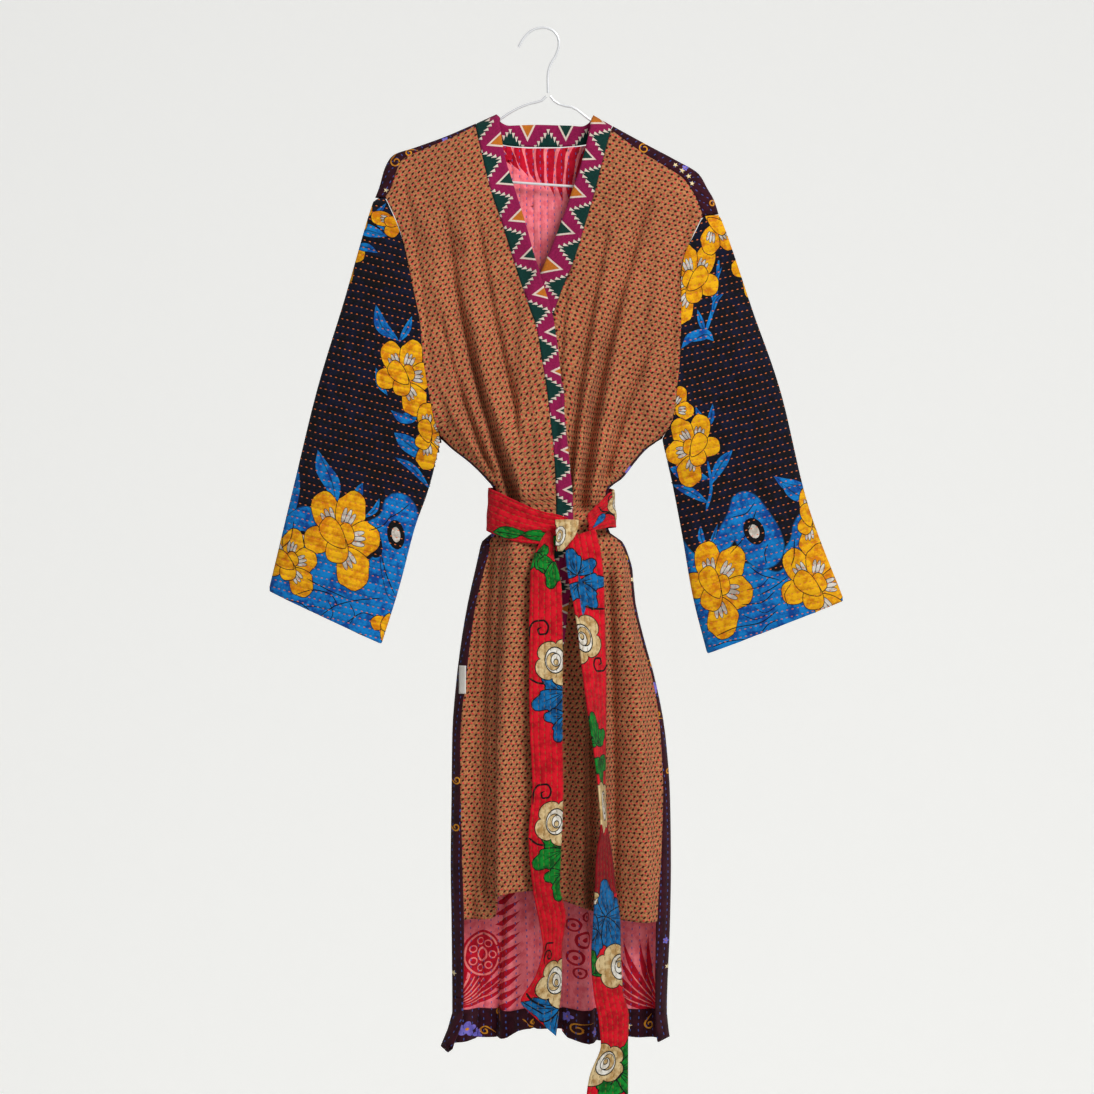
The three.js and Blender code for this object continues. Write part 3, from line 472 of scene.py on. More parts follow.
def field_points(outline, pitch, folded=()):
    """Points in an outline: an even grid, and rows beside the folded edges."""
    grid = staggered_grid(outline.min(0), outline.max(0), pitch)
    if len(folded):
        near = np.min([nearest_on(line, grid)[0] for line in folded], axis=0)
        grid = grid[near > FOLD_ROWS[-1] + 0.4 * pitch]
    found = [grid]
    for line in folded:
        fine = spaced(line, pitch)
        across = sideways(fine)
        for off in FOLD_ROWS:
            for sign in (1, -1):
                row = fine + sign * off * across
                others = np.min([nearest_on(l, row)[0] for l in folded], axis=0)
                found.append(row[others > 0.93 * off])
    points = np.concatenate(found)
    points = points[inside(outline, points)]
    closed = np.concatenate([outline, outline[:1]])
    return points[nearest_on(closed, points)[0] > 0.3]


def triangulate(outline, points, lines=(), loops=()):
    """Triangles of a flat outline through points, with the lines' and loops' edges kept. Returns
    the chart's points and triangles."""
    vertices, edges = [], []
    for line, closed in [(outline, 1), *((l, 0) for l in lines), *((l, 1) for l in loops)]:
        start, count = len(vertices), len(line)
        vertices += [*line]
        edges += [(start + k, start + (k + 1) % count) for k in range(count - 1 + closed)]
    vertices += [*points]
    found = delaunay_2d_cdt([Vector(v) for v in vertices], edges, [], 0, 1e-4)
    chart = np.array([tuple(v) for v in found[0]], float)
    triangles = np.array([f for f in found[2] if len(f) == 3], int)
    a, b, c = (chart[triangles[:, k]] for k in range(3))
    area = (b - a)[:, 0] * (c - a)[:, 1] - (b - a)[:, 1] * (c - a)[:, 0]
    triangles[area < 0] = triangles[area < 0][:, ::-1]
    keep = (np.abs(area) > 1e-7) & inside(outline, (a + b + c) / 3)
    triangles = triangles[keep]
    used, triangles = np.unique(triangles, return_inverse=True)
    return chart[used], triangles.reshape(-1, 3)


def grid_chart(columns, rows):
    """Shares u and v of an even grid, and its triangles, counter-clockwise with v downwards."""
    u, v = (share.ravel() for share in np.meshgrid(columns, rows))
    across = len(columns)
    j, i = np.meshgrid(np.arange(len(rows) - 1), np.arange(across - 1), indexing="ij")
    a = (j * across + i).ravel()
    quads = np.stack([a, a + across, a + 1 + across, a + 1], 1)
    return u, v, np.concatenate([quads[:, [0, 1, 2]], quads[:, [0, 2, 3]]])


# ------------------------------------------------------------------ prints: flat coloured shapes

# Each printed colour, and one red of painted shade, where it is light and where it is dark (sRGB, 0 to
# 255).
PALETTE = {
    "black": ((12, 12, 18), (6, 6, 10)),
    "night": ((10, 10, 16), (12, 18, 44)),
    "blue": ((8, 128, 204), (6, 68, 150)),
    "teal": ((10, 84, 132), (4, 48, 96)),
    "yellow": ((250, 184, 14), (214, 124, 0)),
    "seed": ((222, 214, 204), (176, 164, 150)),
    "red": ((222, 16, 38), (176, 4, 24)),
    # A darker red that paints the shade where the right belt end twists away from the light; the cloth has
    # no such dye.
    "wine": ((150, 6, 20), (120, 4, 16)),
    "cream": ((222, 196, 146), (178, 138, 82)),
    "white": ((240, 236, 226), (206, 196, 178)),
    "green": ((12, 140, 44), (2, 84, 24)),
    "leaf_blue": ((12, 112, 176), (4, 62, 112)),
    "plum": ((56, 12, 26), (40, 6, 18)),
    "gold": ((222, 150, 36), (186, 112, 20)),
    "violet": ((132, 120, 214), (98, 88, 182)),
    "star": ((240, 222, 176), (220, 190, 130)),
    "pink": ((255, 136, 146), (238, 104, 118)),
    "crimson": ((204, 14, 44), (168, 6, 34)),
    "blush": ((246, 150, 142), (238, 120, 120)),
}


def linear(colour):
    """Linear values of an sRGB colour of 0 to 255."""
    c = np.array(colour, float) / 255
    return np.where(c <= 0.04045, c / 12.92, ((c + 0.055) / 1.055) ** 2.4)


def turned(points, angle, x=0.0, y=0.0):
    """Points turned by degrees about (0, 0), then moved."""
    a = np.radians(angle)
    p = np.asarray(points, float)
    return np.stack([x + p[:, 0] * np.cos(a) - p[:, 1] * np.sin(a),
                     y + p[:, 0] * np.sin(a) + p[:, 1] * np.cos(a)], 1)


def oval(x, y, rx, ry, turn=0.0, count=20):
    a = np.linspace(0, 2 * np.pi, count, endpoint=False)
    return turned(np.stack([rx * np.cos(a), ry * np.sin(a)], 1), turn, x, y)


def petal(x, y, turn, length, width, count=22):
    """A petal that starts at (x, y) and is widest past its middle."""
    a = np.linspace(0, 2 * np.pi, count, endpoint=False)
    along = (1 - np.cos(a)) / 2
    across = np.sin(a) * along**0.45
    return turned(np.stack([length * along, width / 2 * across], 1), turn, x, y)


def through(points, count=18):
    """A smooth line through a few points."""
    rows = np.asarray(points, float)
    share = np.linspace(0, 1, count)
    data = {"x": rows[:, 0], "y": rows[:, 1]}
    return np.stack([row_at(data, share, "x"), row_at(data, share, "y")], 1)


def rounded(points, count=60):
    """A smooth closed outline through a few points."""
    p = np.asarray(points, float)
    t = np.linspace(0, len(p), count, endpoint=False)
    k = t.astype(int)
    f = (t - k)[:, None]
    a, b, c, d = (p[(k + step) % len(p)] for step in (-1, 0, 1, 2))
    return 0.5 * (2 * b + (c - a) * f + (2 * a - 5 * b + 4 * c - d) * f**2
                  + (3 * b - 3 * c + d - a) * f**3)


def lobed(x, y, turn, length, width, lobes=3, deep=0.07, count=34):
    """A petal or leaflet with a scalloped far edge."""
    a = np.linspace(0, 2 * np.pi, count, endpoint=False)
    along = (1 - np.cos(a)) / 2
    across = np.sign(np.sin(a)) * np.abs(np.sin(a)) ** 0.72 * along**0.38
    wave = 1 + deep * np.cos(2 * lobes * (a - np.pi) / 1.5) * smooth(1.6 * along - 0.3)
    shape = np.stack([length * along * wave, width / 2 * across * wave], 1)
    return turned(shape, turn, x, y)


def widened(points, half, blunt):
    """A smooth line through points made half as wide as twice half, which varies along it."""
    line = through(points, len(half))
    side = half[:, None] * sideways(line)
    back = (line - side)[::-1]
    return np.concatenate([line + side, back if blunt else back[1:-1]])


def blade(points, width, count=14, fullest=0.55):
    """A leaf along a smooth line, pointed at both ends."""
    t = np.linspace(0, 1, count)
    shape = np.where(t < fullest, np.sin(np.pi / 2 * t / fullest),
                     np.cos(np.pi / 2 * (t - fullest) / (1 - fullest)))
    return widened(points, 0.5 * width * shape, False)


def stroke(points, width, count=12):
    """A line of even width with round-looking ends."""
    t = np.linspace(0, 1, count)
    return widened(points, 0.5 * width * np.minimum(1, 0.35 + 6 * np.minimum(t, 1 - t)), True)


def grown(shape, by):
    """A shape with its edge moved out."""
    ahead, behind = np.roll(shape, -1, 0), np.roll(shape, 1, 0)
    along = ahead - behind
    normal = np.stack([along[:, 1], -along[:, 0]], 1)
    normal /= np.maximum(np.linalg.norm(normal, axis=1), 1e-9)[:, None]
    x, y = shape.T
    area = np.sum(x * np.roll(y, -1) - np.roll(x, -1) * y)
    return shape + normal * by * np.sign(area)


def inked(colour, shape, line=1.1):
    """A shape with a black line round it."""
    return [("black", grown(shape, line)), (colour, shape)]


# A flower 100 across. Its petals in the order in which they lie, the last on top; those with
# lobes have a scalloped edge and pale stamens on them.
PETALS = table("turn reach length width lobes", [
    (180, 2, 40, 38, 2), (116, 4, 48, 46, 2), (58, 4, 50, 48, 3), (-2, 6, 46, 46, 3),
    (-62, 10, 48, 54, 3), (24, -6, 28, 28, 0), (-98, -10, 36, 36, 0), (134, -14, 42, 30, 0),
])
STAMEN = {"reach": 27.0, "spread": 12.0, "length": 9.6, "width": 2.5}


def flower(x, y, size=100.0, turn=0.0, flip=1, wide=0.85, petals=range(8)):
    """A yellow flower with pale stamens."""
    made = []
    scale = size / 100
    for k in petals:
        t, reach, length, width, lobes = (PETALS[name][k] for name in PETALS)
        a = np.radians(t)
        root = (reach * np.cos(a), reach * np.sin(a))
        shape = lobed(*root, t, length, width, lobes, 0.07 if lobes else 0.0)
        made += inked("yellow", shape, 1.0 / scale)
        for spread in (-1, 0, 1) if lobes and k else ():
            b = np.radians(t + STAMEN["spread"] * spread)
            made += inked("seed", oval(STAMEN["reach"] * np.cos(b), STAMEN["reach"] * np.sin(b),
                                       STAMEN["length"] - abs(spread), STAMEN["width"],
                                       t + 9 * spread, 12), 0.7 / scale)
    place = np.array([wide * scale * flip, scale])
    return [(colour, turned(shape * place, turn, x, y)) for colour, shape in made]


def sprig(points, width):
    """A blue leaf with a dark vein."""
    vein = [points[0], points[len(points) // 2], points[-1]]
    return [*inked("blue", blade(points, width), 0.5),
            ("teal", blade(vein, 1.6, 10, 0.5))]


def spread_blue(points):
    """A broad blue shape with a dark edge."""
    shape = rounded(points, 12 * len(points))
    return [("teal", grown(shape, 1.2)), ("blue", shape)]


def seed_eye(x, y, rx, ry, turn):
    """A pale seed in a black hole."""
    return [("black", oval(x, y, rx, ry, turn)), ("seed", oval(x, y, 0.5 * rx, 0.52 * ry, turn, 14))]


def ink(points, width):
    return [("black", stroke(points, width))]


def leaf(points, width):
    return [("blue", blade(points, width))]


def stalk(points, width):
    return [("blue", stroke(points, width))]


def hole(points):
    return [("night", rounded(points, 30))]


def patch(colour, shape):
    return [(colour, shape)]


def places(text):
    """The points of a text such as "3 4, 5 6"."""
    return np.array([spot.split() for spot in text.split(",")], float)


def drawn(rows):
    """The shapes that rows of a maker and what it takes give, in order."""
    return [shape for maker, *given in rows for shape in maker(*given)]


# The curls in a blossom's middle: their size, how far off its middle and which way, and colour.
BLOSSOM_CURLS = (
    (0.30, 0.0, 0, "black"), (0.272, 0.0, 0, "white"), (0.205, 0.05, 40, "black"),
    (0.185, 0.055, 40, "cream"), (0.15, 0.02, 200, "black"), (0.128, 0.02, 200, "white"),
    (0.075, 0.05, 120, "black"), (0.055, 0.055, 120, "cream"),
)


def blossom(x, y, size, turn=0.0):
    """A cream blossom with white curled petals in its middle, off to one side."""
    a = np.linspace(0, 2 * np.pi, 80, endpoint=False)
    r = size * (0.45 + 0.15 * np.abs(np.sin(2.5 * a)) ** 0.6) * (1 + 0.07 * np.sin(a + 1 + x))
    shape = turned(np.stack([r * np.cos(a), 0.94 * r * np.sin(a)], 1), turn, x, y)
    made = [("black", grown(shape, 1.2)), ("cream", shape)]
    for r, off, heading, colour in BLOSSOM_CURLS:
        a = np.radians(heading + turn)
        hub = turned([(0.12 * size, 0)], turn, x, y)[0] + off * size * np.array([np.cos(a), np.sin(a)])
        made.append((colour, oval(*hub, 0.84 * r * size, 1.1 * r * size, turn + 8, 20)))
    return made


def trefoil(x, y, size, turn, colour):
    """Three broad leaflets from one point, with dark veins."""
    made = []
    for spread, length, width in ((-66, 0.78, 0.7), (62, 0.84, 0.72), (0, 0.98, 0.76)):
        made += inked(colour, lobed(x, y, turn + spread, length * size, width * size, 3, 0.13), 1.3)
        for side in (-16, 0, 16):
            a = np.radians(turn + spread + side)
            reach = length * size * (0.8 - 0.012 * abs(side))
            end = (x + reach * np.cos(a), y + reach * np.sin(a))
            made.append(("black", blade([(x, y), ((x + end[0]) / 2, (y + end[1]) / 2), end],
                                        1.0, 8, 0.4)))
    return made


CURL_LINE = np.array([
    (-1.35, -1.6), (-1.4, -0.2), (-0.7, 0.85), (0.35, 0.95), (0.95, 0.1), (0.6, -0.75),
    (-0.1, -0.8), (-0.35, -0.2), (0.1, 0.1),
])


def curl(x, y, size, turn=0.0, width=2.0):
    """A black stem that ends in a curl."""
    return [("black", stroke(turned(CURL_LINE * size, turn, x, y), width, 44))]


def star(x, y, size, turn=0.0):
    a = np.arange(10) * np.pi / 5
    r = np.where(np.arange(10) % 2, 0.42, 1.0) * size
    return [("star", turned(np.stack([r * np.cos(a), r * np.sin(a)], 1), turn, x, y))]


def scroll(x, y, size, turn=0.0, flip=1):
    """A gold spiral with a short stem."""
    a = np.linspace(0, 2.4 * np.pi, 22)
    r = size * (1 - 0.72 * a / a[-1])
    line = np.stack([flip * r * np.cos(a), r * np.sin(a)], 1)
    stem = np.array([[flip * size * 1.5, -1.6 * size], [flip * size * 1.25, -0.6 * size]])
    return [("gold", stroke(turned(np.concatenate([stem, line]), turn, x, y), 1.7, 40))]


def violets(x, y, size, turn=0.0):
    made = []
    for k in range(5):
        a = 72 * k + turn
        b = np.radians(a)
        made.append(("violet", oval(x + 0.55 * size * np.cos(b), y + 0.55 * size * np.sin(b),
                                    0.46 * size, 0.34 * size, a, 12)))
    return made + [("gold", oval(x, y, 0.2 * size, 0.2 * size, 0, 8))]


def plume(x, y, first, last, count, length, bend, width=6.5):
    """Long leaflets that fan out from one point and bend, each with a pale vein.

    first and last are the headings at the root of the outermost leaflets, in degrees."""

    def path(share, step, turned_by, steps):
        heading = np.radians(first + (last - first) * share + bend * np.linspace(0, turned_by, steps))
        tip = np.stack([x + np.cumsum(step * np.cos(heading)), y + np.cumsum(step * np.sin(heading))], 1)
        return np.concatenate([[(x, y)], tip])

    made = []
    for k in range(count):
        share = k / (count - 1)
        step = length * (0.8 + 0.2 * np.sin(np.pi * share)) * (1 - 0.1 * (k % 2)) / 6
        made.append(("crimson", blade(path(share, step, 1, 6), width, 16, 0.5)))
    for k in range(count - 1):
        vein = path((k + 0.5) / (count - 1), 0.72 * length / 5, 0.7, 5)[1:]
        made.append(("blush", blade(vein, 1.5, 12, 0.4)))
    return made


def swirl(x, y, size):
    """Crimson rings with pale petals."""
    made = []
    for r, colour in ((1.0, "crimson"), (0.9, "blush"), (0.82, "crimson"), (0.3, "blush"),
                      (0.22, "crimson")):
        made.append((colour, oval(x, y, r * size, 1.25 * r * size, 0, 28)))
    for k in range(7):
        a = 2 * np.pi * k / 7
        place = (x + 0.55 * size * np.cos(a), y + 0.7 * size * np.sin(a))
        made.append(("blush", oval(*place, 0.2 * size, 0.2 * size, 0, 12)))
        made.append(("crimson", oval(*place, 0.14 * size, 0.14 * size, 0, 12)))
    return made


def scattered(low, high, pitch, seed, makers):
    """Small motifs over a rectangle, one in each cell, from a fixed list of makers."""
    draw = np.random.default_rng(seed)
    made = []
    for x in np.arange(low[0], high[0], pitch):
        for y in np.arange(low[1], high[1], pitch):
            place = draw.random(4)
            maker = makers[int(place[2] * len(makers))]
            made += maker(x + pitch * (0.25 + 0.5 * place[0]), y + pitch * (0.25 + 0.5 * place[1]),
                          360 * place[3])
    return made


def painted(chart, triangles, shapes, ground):
    """The palette's light and dark colours on each triangle, with later shapes on top."""
    names = list(PALETTE)
    middle = chart[triangles].mean(axis=1)
    index = np.full(len(triangles), names.index(ground))
    for colour, shape in shapes:
        low, high = shape.min(0), shape.max(0)
        near = np.flatnonzero(((middle >= low) & (middle <= high)).all(axis=1))
        if len(near):
            hit = near[inside(shape, middle[near])]
            index[hit] = names.index(colour)
    return [np.array([linear(PALETTE[n][shade]) for n in names])[index] for shade in (0, 1)]


# ------------------------------------------------------------------ walls


def vertex_normals(points, triangles):
    a, b, c = (points[triangles[:, k]] for k in range(3))
    face = np.cross(b - a, c - a)
    total = np.zeros_like(points)
    for k in range(3):
        np.add.at(total, triangles[:, k], face)
    return total / np.maximum(np.linalg.norm(total, axis=1), 1e-12)[:, None]


def three(a, b, c):
    return np.stack([a, b, c], 1)


def edges_of(triangles):
    return np.concatenate([triangles[:, [0, 1]], triangles[:, [1, 2]], triangles[:, [2, 0]]])


def make_piece(node, material, points, triangles, uv, thick, far=0.0, paint=None, welded=None):
    """A closed wall on a surface of points (mm), which replaces a CAD node. far is the distance
    of its outer face from the surface along its normals, and thick is how far the inner face lies
    behind it. uv has the cloth's own places (mm) of each point; paint has the outer face's and the
    inner face's colours. welded, if given, names the same triangles by points that are joined."""
    joined = triangles if welded is None else welded
    normals = vertex_normals(points, joined)
    count = len(points)
    vertices = np.concatenate([points + (far - thick) * normals, points + far * normals]) / 1000
    edges = edges_of(joined)
    _, first, uses = np.unique(np.sort(edges, axis=1), axis=0, return_index=True,
                               return_counts=True)
    rim = first[uses == 1]
    a, b = edges[rim].T
    owner = np.tile(np.arange(len(triangles)), 3)[rim]
    faces = np.concatenate([joined + count, joined[:, ::-1], three(b + count, a + count, a),
                            three(b + count, a, b)])
    a, b = edges_of(triangles)[rim].T
    corners = np.concatenate([triangles, triangles[:, ::-1], three(b, a, a), three(b, a, b)])
    used, faces = np.unique(faces, return_inverse=True)
    faces = faces.reshape(-1, 3)
    mesh = bpy.data.meshes.new(node + "_cloth")
    mesh.from_pydata(vertices[used].tolist(), [], faces.tolist())
    layer = mesh.uv_layers.new(name="cloth")
    layer.data.foreach_set("uv", (uv[corners].reshape(-1, 2) / 1000).astype(np.float32).ravel())
    if paint is not None:
        for column, label in enumerate(("print_light", "print_dark")):
            outer, inner = paint[0][column], paint[1][column]
            colours = np.concatenate([outer, inner, outer[owner], outer[owner]])
            colours = np.concatenate([colours, np.ones((len(colours), 1))], 1).repeat(3, axis=0)
            attribute = mesh.color_attributes.new(label, "FLOAT_COLOR", "CORNER")
            attribute.data.foreach_set("color", colours.astype(np.float32).ravel())
    mesh.shade_smooth()
    mesh.update()
    mesh.materials.append(material)
    piece = bpy.data.objects.new(mesh.name, mesh)
    bpy.context.scene.collection.objects.link(piece)
    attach(piece, "root")
    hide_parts(node)
    return piece


# ------------------------------------------------------------------ materials

THREAD_PITCH = 0.9
BUMP_HEIGHT = 0.0016
BAND_STEP = 3.9

class Value:
    """An output of a node, which can be reckoned with."""

    def __init__(self, nodes, socket):
        self.nodes, self.socket = nodes, socket

    def __add__(self, other):
        return self.nodes.math("ADD", self, other)

    def __sub__(self, other):
        return self.nodes.math("SUBTRACT", self, other)

    def __rsub__(self, other):
        return self.nodes.math("SUBTRACT", other, self)

    def __mul__(self, other):
        return self.nodes.math("MULTIPLY", self, other)

    def __truediv__(self, other):
        return self.nodes.math("DIVIDE", self, other)


class Nodes:
    """A material's node tree. x and y are places on the cloth in millimetres."""

    def __init__(self, name, cloth=True):
        self.material = bpy.data.materials.new(name)
        self.material.use_nodes = True
        self.tree = self.material.node_tree
        self.inputs = self.tree.nodes["Principled BSDF"].inputs
        if cloth:
            uv = self.add("ShaderNodeUVMap", {}, uv_map="cloth")
            self.x, self.y = (self.add("ShaderNodeSeparateXYZ", {0: uv}, k) * 1000 for k in (0, 1))

    def add(self, kind, inputs, output=0, **settings):
        """An output of a new node."""
        node = self.tree.nodes.new(kind)
        for name, value in settings.items():
            setattr(node, name, value)
        for key, value in inputs.items():
            self.put(node.inputs[key], value)
        return Value(self, node.outputs[output])

    def put(self, socket, value):
        if isinstance(value, Value):
            self.tree.links.new(value.socket, socket)
        elif isinstance(value, tuple) and socket.type == "RGBA":
            socket.default_value = (*value, 1)
        else:
            socket.default_value = value

    def finish(self, **inputs):
        """The material, with the shader's inputs set: Base_Color stands for Base Color."""
        for name, value in inputs.items():
            self.put(self.inputs[name.replace("_", " ")], value)
        return self.material

    def math(self, operation, a, b=0.0, c=0.0):
        return self.add("ShaderNodeMath", {0: a, 1: b, 2: c}, operation=operation)

    def noise(self, scale, detail=2.0, rough=0.5):
        """Soft noise with that many bumps to the metre."""
        place = self.add("ShaderNodeTexCoord", {}, "Object")
        return self.add("ShaderNodeTexNoise", {"Vector": place, "Scale": scale, "Detail": detail,
                                               "Roughness": rough})

    def chance(self, a, b):
        """A value from 0 to 1 that is the same for the same pair of whole numbers."""
        place = self.add("ShaderNodeCombineXYZ", {0: a, 1: b, 2: 0.0})
        return self.add("ShaderNodeTexWhiteNoise", {"Vector": place}, noise_dimensions="3D")

    def band(self, value, low, high):
        """0 below low, 1 above high, smooth between."""
        return self.add("ShaderNodeMapRange", {"Value": value, "From Min": low, "From Max": high},
                        interpolation_type="SMOOTHSTEP")

    def mix(self, share, a, b, blend="MIX"):
        return self.add("ShaderNodeMix", {0: share, 6: a, 7: b}, 2, data_type="RGBA", blend_type=blend)

    def length(self, a, b):
        squares = self.math("POWER", a, 2.0) + self.math("POWER", b, 2.0)
        return self.math("SQRT", squares)

    def stitches(self, along, across, row, pitch, length, thick, wander=0.6):
        """Running stitches: 1 on a stitch. row is the space between rows, pitch the space
        between the starts of stitches. Returns the stitches, and the rows' soft troughs."""
        place = (across + (self.noise(26, 1) - 0.5) * (4 * wander)) / row
        index = self.math("FLOOR", place)
        off = (place - index - 0.5) * row
        step = along / pitch + self.chance(index, 3.0)
        count = self.math("FLOOR", step)
        gone = (step - count - 0.5) * pitch + (self.chance(index, count) - 0.5) * 0.7
        beyond = self.math("MAXIMUM", self.math("ABSOLUTE", gone) - 0.5 * (length - thick), 0.0)
        edge = 0.5 * thick
        stitch = 1.0 - self.band(self.length(beyond, off), edge - 0.18, edge + 0.18)
        return stitch, 1.0 - self.band(self.math("ABSOLUTE", off), 0.0, 0.32 * row)

    def marks(self, column, row, rx, ry, at=(0.0, 0.0), turn=0.0):
        """Small oval marks on a staggered lattice: 1 on a mark."""
        v = self.y / row - at[1]
        j = self.math("FLOOR", v)
        u = self.x / column - at[0] + self.math("PINGPONG", j, 1.0) * 0.5
        i = self.math("FLOOR", u)
        dx = (u - i - 0.5 + (self.chance(i, j) - 0.5) * 0.22) * column
        dy = (v - j - 0.5 + (self.chance(j, i) - 0.5) * 0.22) * row
        c, s = float(np.cos(turn)), float(np.sin(turn))
        far = self.length((dx * c + dy * s) / rx, (dy * c - dx * s) / ry)
        return 1.0 - self.band(far, 0.75, 1.2)

    def printed(self, mottle=95.0):
        """The printed colours, mottled between their light and dark shades."""
        light, dark = (self.add("ShaderNodeVertexColor", {}, layer_name=f"print_{shade}")
                       for shade in ("light", "dark"))
        return self.mix(self.band(self.noise(mottle, 5.0, 0.66), 0.4, 0.64), light, dark)

    def cloth(self, colour, height, strength, sheen=0.03):
        """The material of a woven cloth with that colour and height."""
        threads = 2 * np.pi / THREAD_PITCH
        weave = self.math("SINE", self.x * threads) * self.math("SINE", self.y * threads)
        worn = self.band(self.noise(9.0, 3.0), 0.3, 0.75)
        tone = self.mix(1.0, colour, self.mix(worn, (0.88,) * 3, (1.06,) * 3), "MULTIPLY")
        thread = self.math("MULTIPLY_ADD", weave, 0.055, 1.0)
        grain = self.add("ShaderNodeCombineColor", {0: thread, 1: thread, 2: thread})
        fine = self.math("MULTIPLY_ADD", weave, 0.12, height)
        full = self.math("MULTIPLY_ADD", self.noise(240), 0.3, fine)
        bump = self.add("ShaderNodeBump", {"Strength": strength, "Distance": BUMP_HEIGHT,
                                           "Height": full})
        return self.finish(Base_Color=self.mix(1.0, tone, grain, "MULTIPLY"), Roughness=0.92,
                           Specular_IOR_Level=0.15, Sheen_Weight=sheen, Sheen_Roughness=0.6,
                           Normal=bump)


def srgb(*colour):
    return tuple(float(c) for c in linear(colour))


def tan_material():
    n = Nodes("tan_cloth")
    dark = n.marks(8.0, 5.6, 2.0, 1.3, turn=0.7)
    red = n.marks(8.0, 5.6, 1.35, 0.95, at=(0.47, 0.4), turn=-0.3)
    thread, trough = n.stitches(n.x, n.y, 5.6, 6.6, 4.6, 0.8)
    ground = n.mix(n.band(n.noise(420), 0.35, 0.7), srgb(198, 132, 86), srgb(150, 92, 56))
    ground = n.mix(thread * 0.5, ground, srgb(214, 156, 108))
    ground = n.mix(red * 0.92, ground, srgb(236, 38, 62))
    return n.cloth(n.mix(dark, ground, srgb(62, 18, 16)), thread * 0.5 - trough, 0.8)


def sleeve_material():
    n = Nodes("sleeve_cloth")
    stitch, trough = n.stitches(n.x, n.y, 8.9, 6.5, 2.4, 1.05, 0.8)
    second, _ = n.stitches(n.x, n.y + 4.45, 8.9, 7.2, 1.2, 0.7, 0.8)
    colour = n.mix(second * 0.25, n.printed(), srgb(90, 46, 36))
    colour = n.mix(stitch * 0.95, colour, srgb(236, 118, 58))
    return n.cloth(colour, stitch * 0.5 - trough, 0.8)


def stitched_material(name, sizes, mottle, share, thread, strength):
    """Printed cloth with rows of stitches down it. share is how much their thread shows."""
    n = Nodes(name)
    stitch, trough = n.stitches(n.y, n.x, *sizes)
    colour = n.mix(stitch * share, n.printed(mottle), srgb(*thread))
    return n.cloth(colour, stitch * 0.5 - trough, strength)


def band_material(name, shift, colours, period=47.0, width=29.0):
    """Zigzag cloth: x runs across the band from its seam, y down it. shift moves the zigzag along
    in periods, and colours are the two kinds of small triangle."""
    n = Nodes(name)
    place = n.y + period * shift
    row = n.math("FLOOR", place / BAND_STEP) * BAND_STEP
    wave = n.math("PINGPONG", row / period * 2.0, 1.0)
    even = n.math("PINGPONG", place / period * 2.0, 1.0)
    behind = n.math("MULTIPLY_ADD", wave, 1.06 * width, -0.24 * width) - n.x
    beyond = n.x - n.math("MULTIPLY_ADD", even, 1.75 * width, 0.26 * width)
    magenta = n.mix(n.noise(500, 3.0), srgb(172, 30, 92), srgb(104, 10, 52))
    green = n.mix(n.noise(500, 3.0), srgb(14, 66, 58), srgb(4, 34, 32))
    cream = n.mix(n.noise(400), srgb(238, 222, 208), srgb(206, 182, 168))
    share = n.math("FRACT", place / BAND_STEP)
    spike = 1.0 - n.math("ABSOLUTE", share - 0.5) * 2.2
    reach = n.math("MULTIPLY_ADD", n.math("MAXIMUM", spike, 0.0), 6.0, 0.8)
    cell = n.math("FLOOR", place / period + 0.5)
    kinds = n.mix(n.math("PINGPONG", cell, 1.0), *(srgb(*c) for c in colours))
    small = n.mix(n.noise(500, 3.0) * 0.5, kinds, srgb(20, 20, 16))
    outside = n.math("GREATER_THAN", behind, 0.0)
    within = n.math("GREATER_THAN", beyond, 0.0)
    colour = n.mix(outside, magenta, green)
    colour = n.mix(outside * n.math("LESS_THAN", behind, reach), colour, cream)
    colour = n.mix(within, colour, small)
    colour = n.mix(within * n.math("LESS_THAN", beyond, 5.0), colour, cream)
    return n.cloth(colour, n.math("SINE", n.y * (2 * np.pi / 1.5)) * 0.3, 0.5)


def label_material():
    n = Nodes("label_cloth")
    rib = n.math("SINE", n.y * (2 * np.pi / 1.1))
    colour = n.mix(n.noise(120), srgb(240, 237, 230), srgb(220, 214, 204))
    return n.cloth(colour, rib, 0.3, sheen=0.1)


def wire_material():
    n = Nodes("hanger_wire", cloth=False)
    cloud = n.noise(60)
    gloss = n.add("ShaderNodeMapRange", {"Value": cloud, "To Min": 0.24, "To Max": 0.42})
    tone = n.mix(cloud, srgb(232, 233, 234), srgb(206, 208, 211))
    return n.finish(Base_Color=tone, Roughness=gloss, Metallic=0.15, Coat_Weight=0.5)


# ------------------------------------------------------------------ fronts


def band_foot(side):
    seam = BANDS[side]["seam"][-1]
    return float(curve(HEMS[side], "x", seam, "z"))


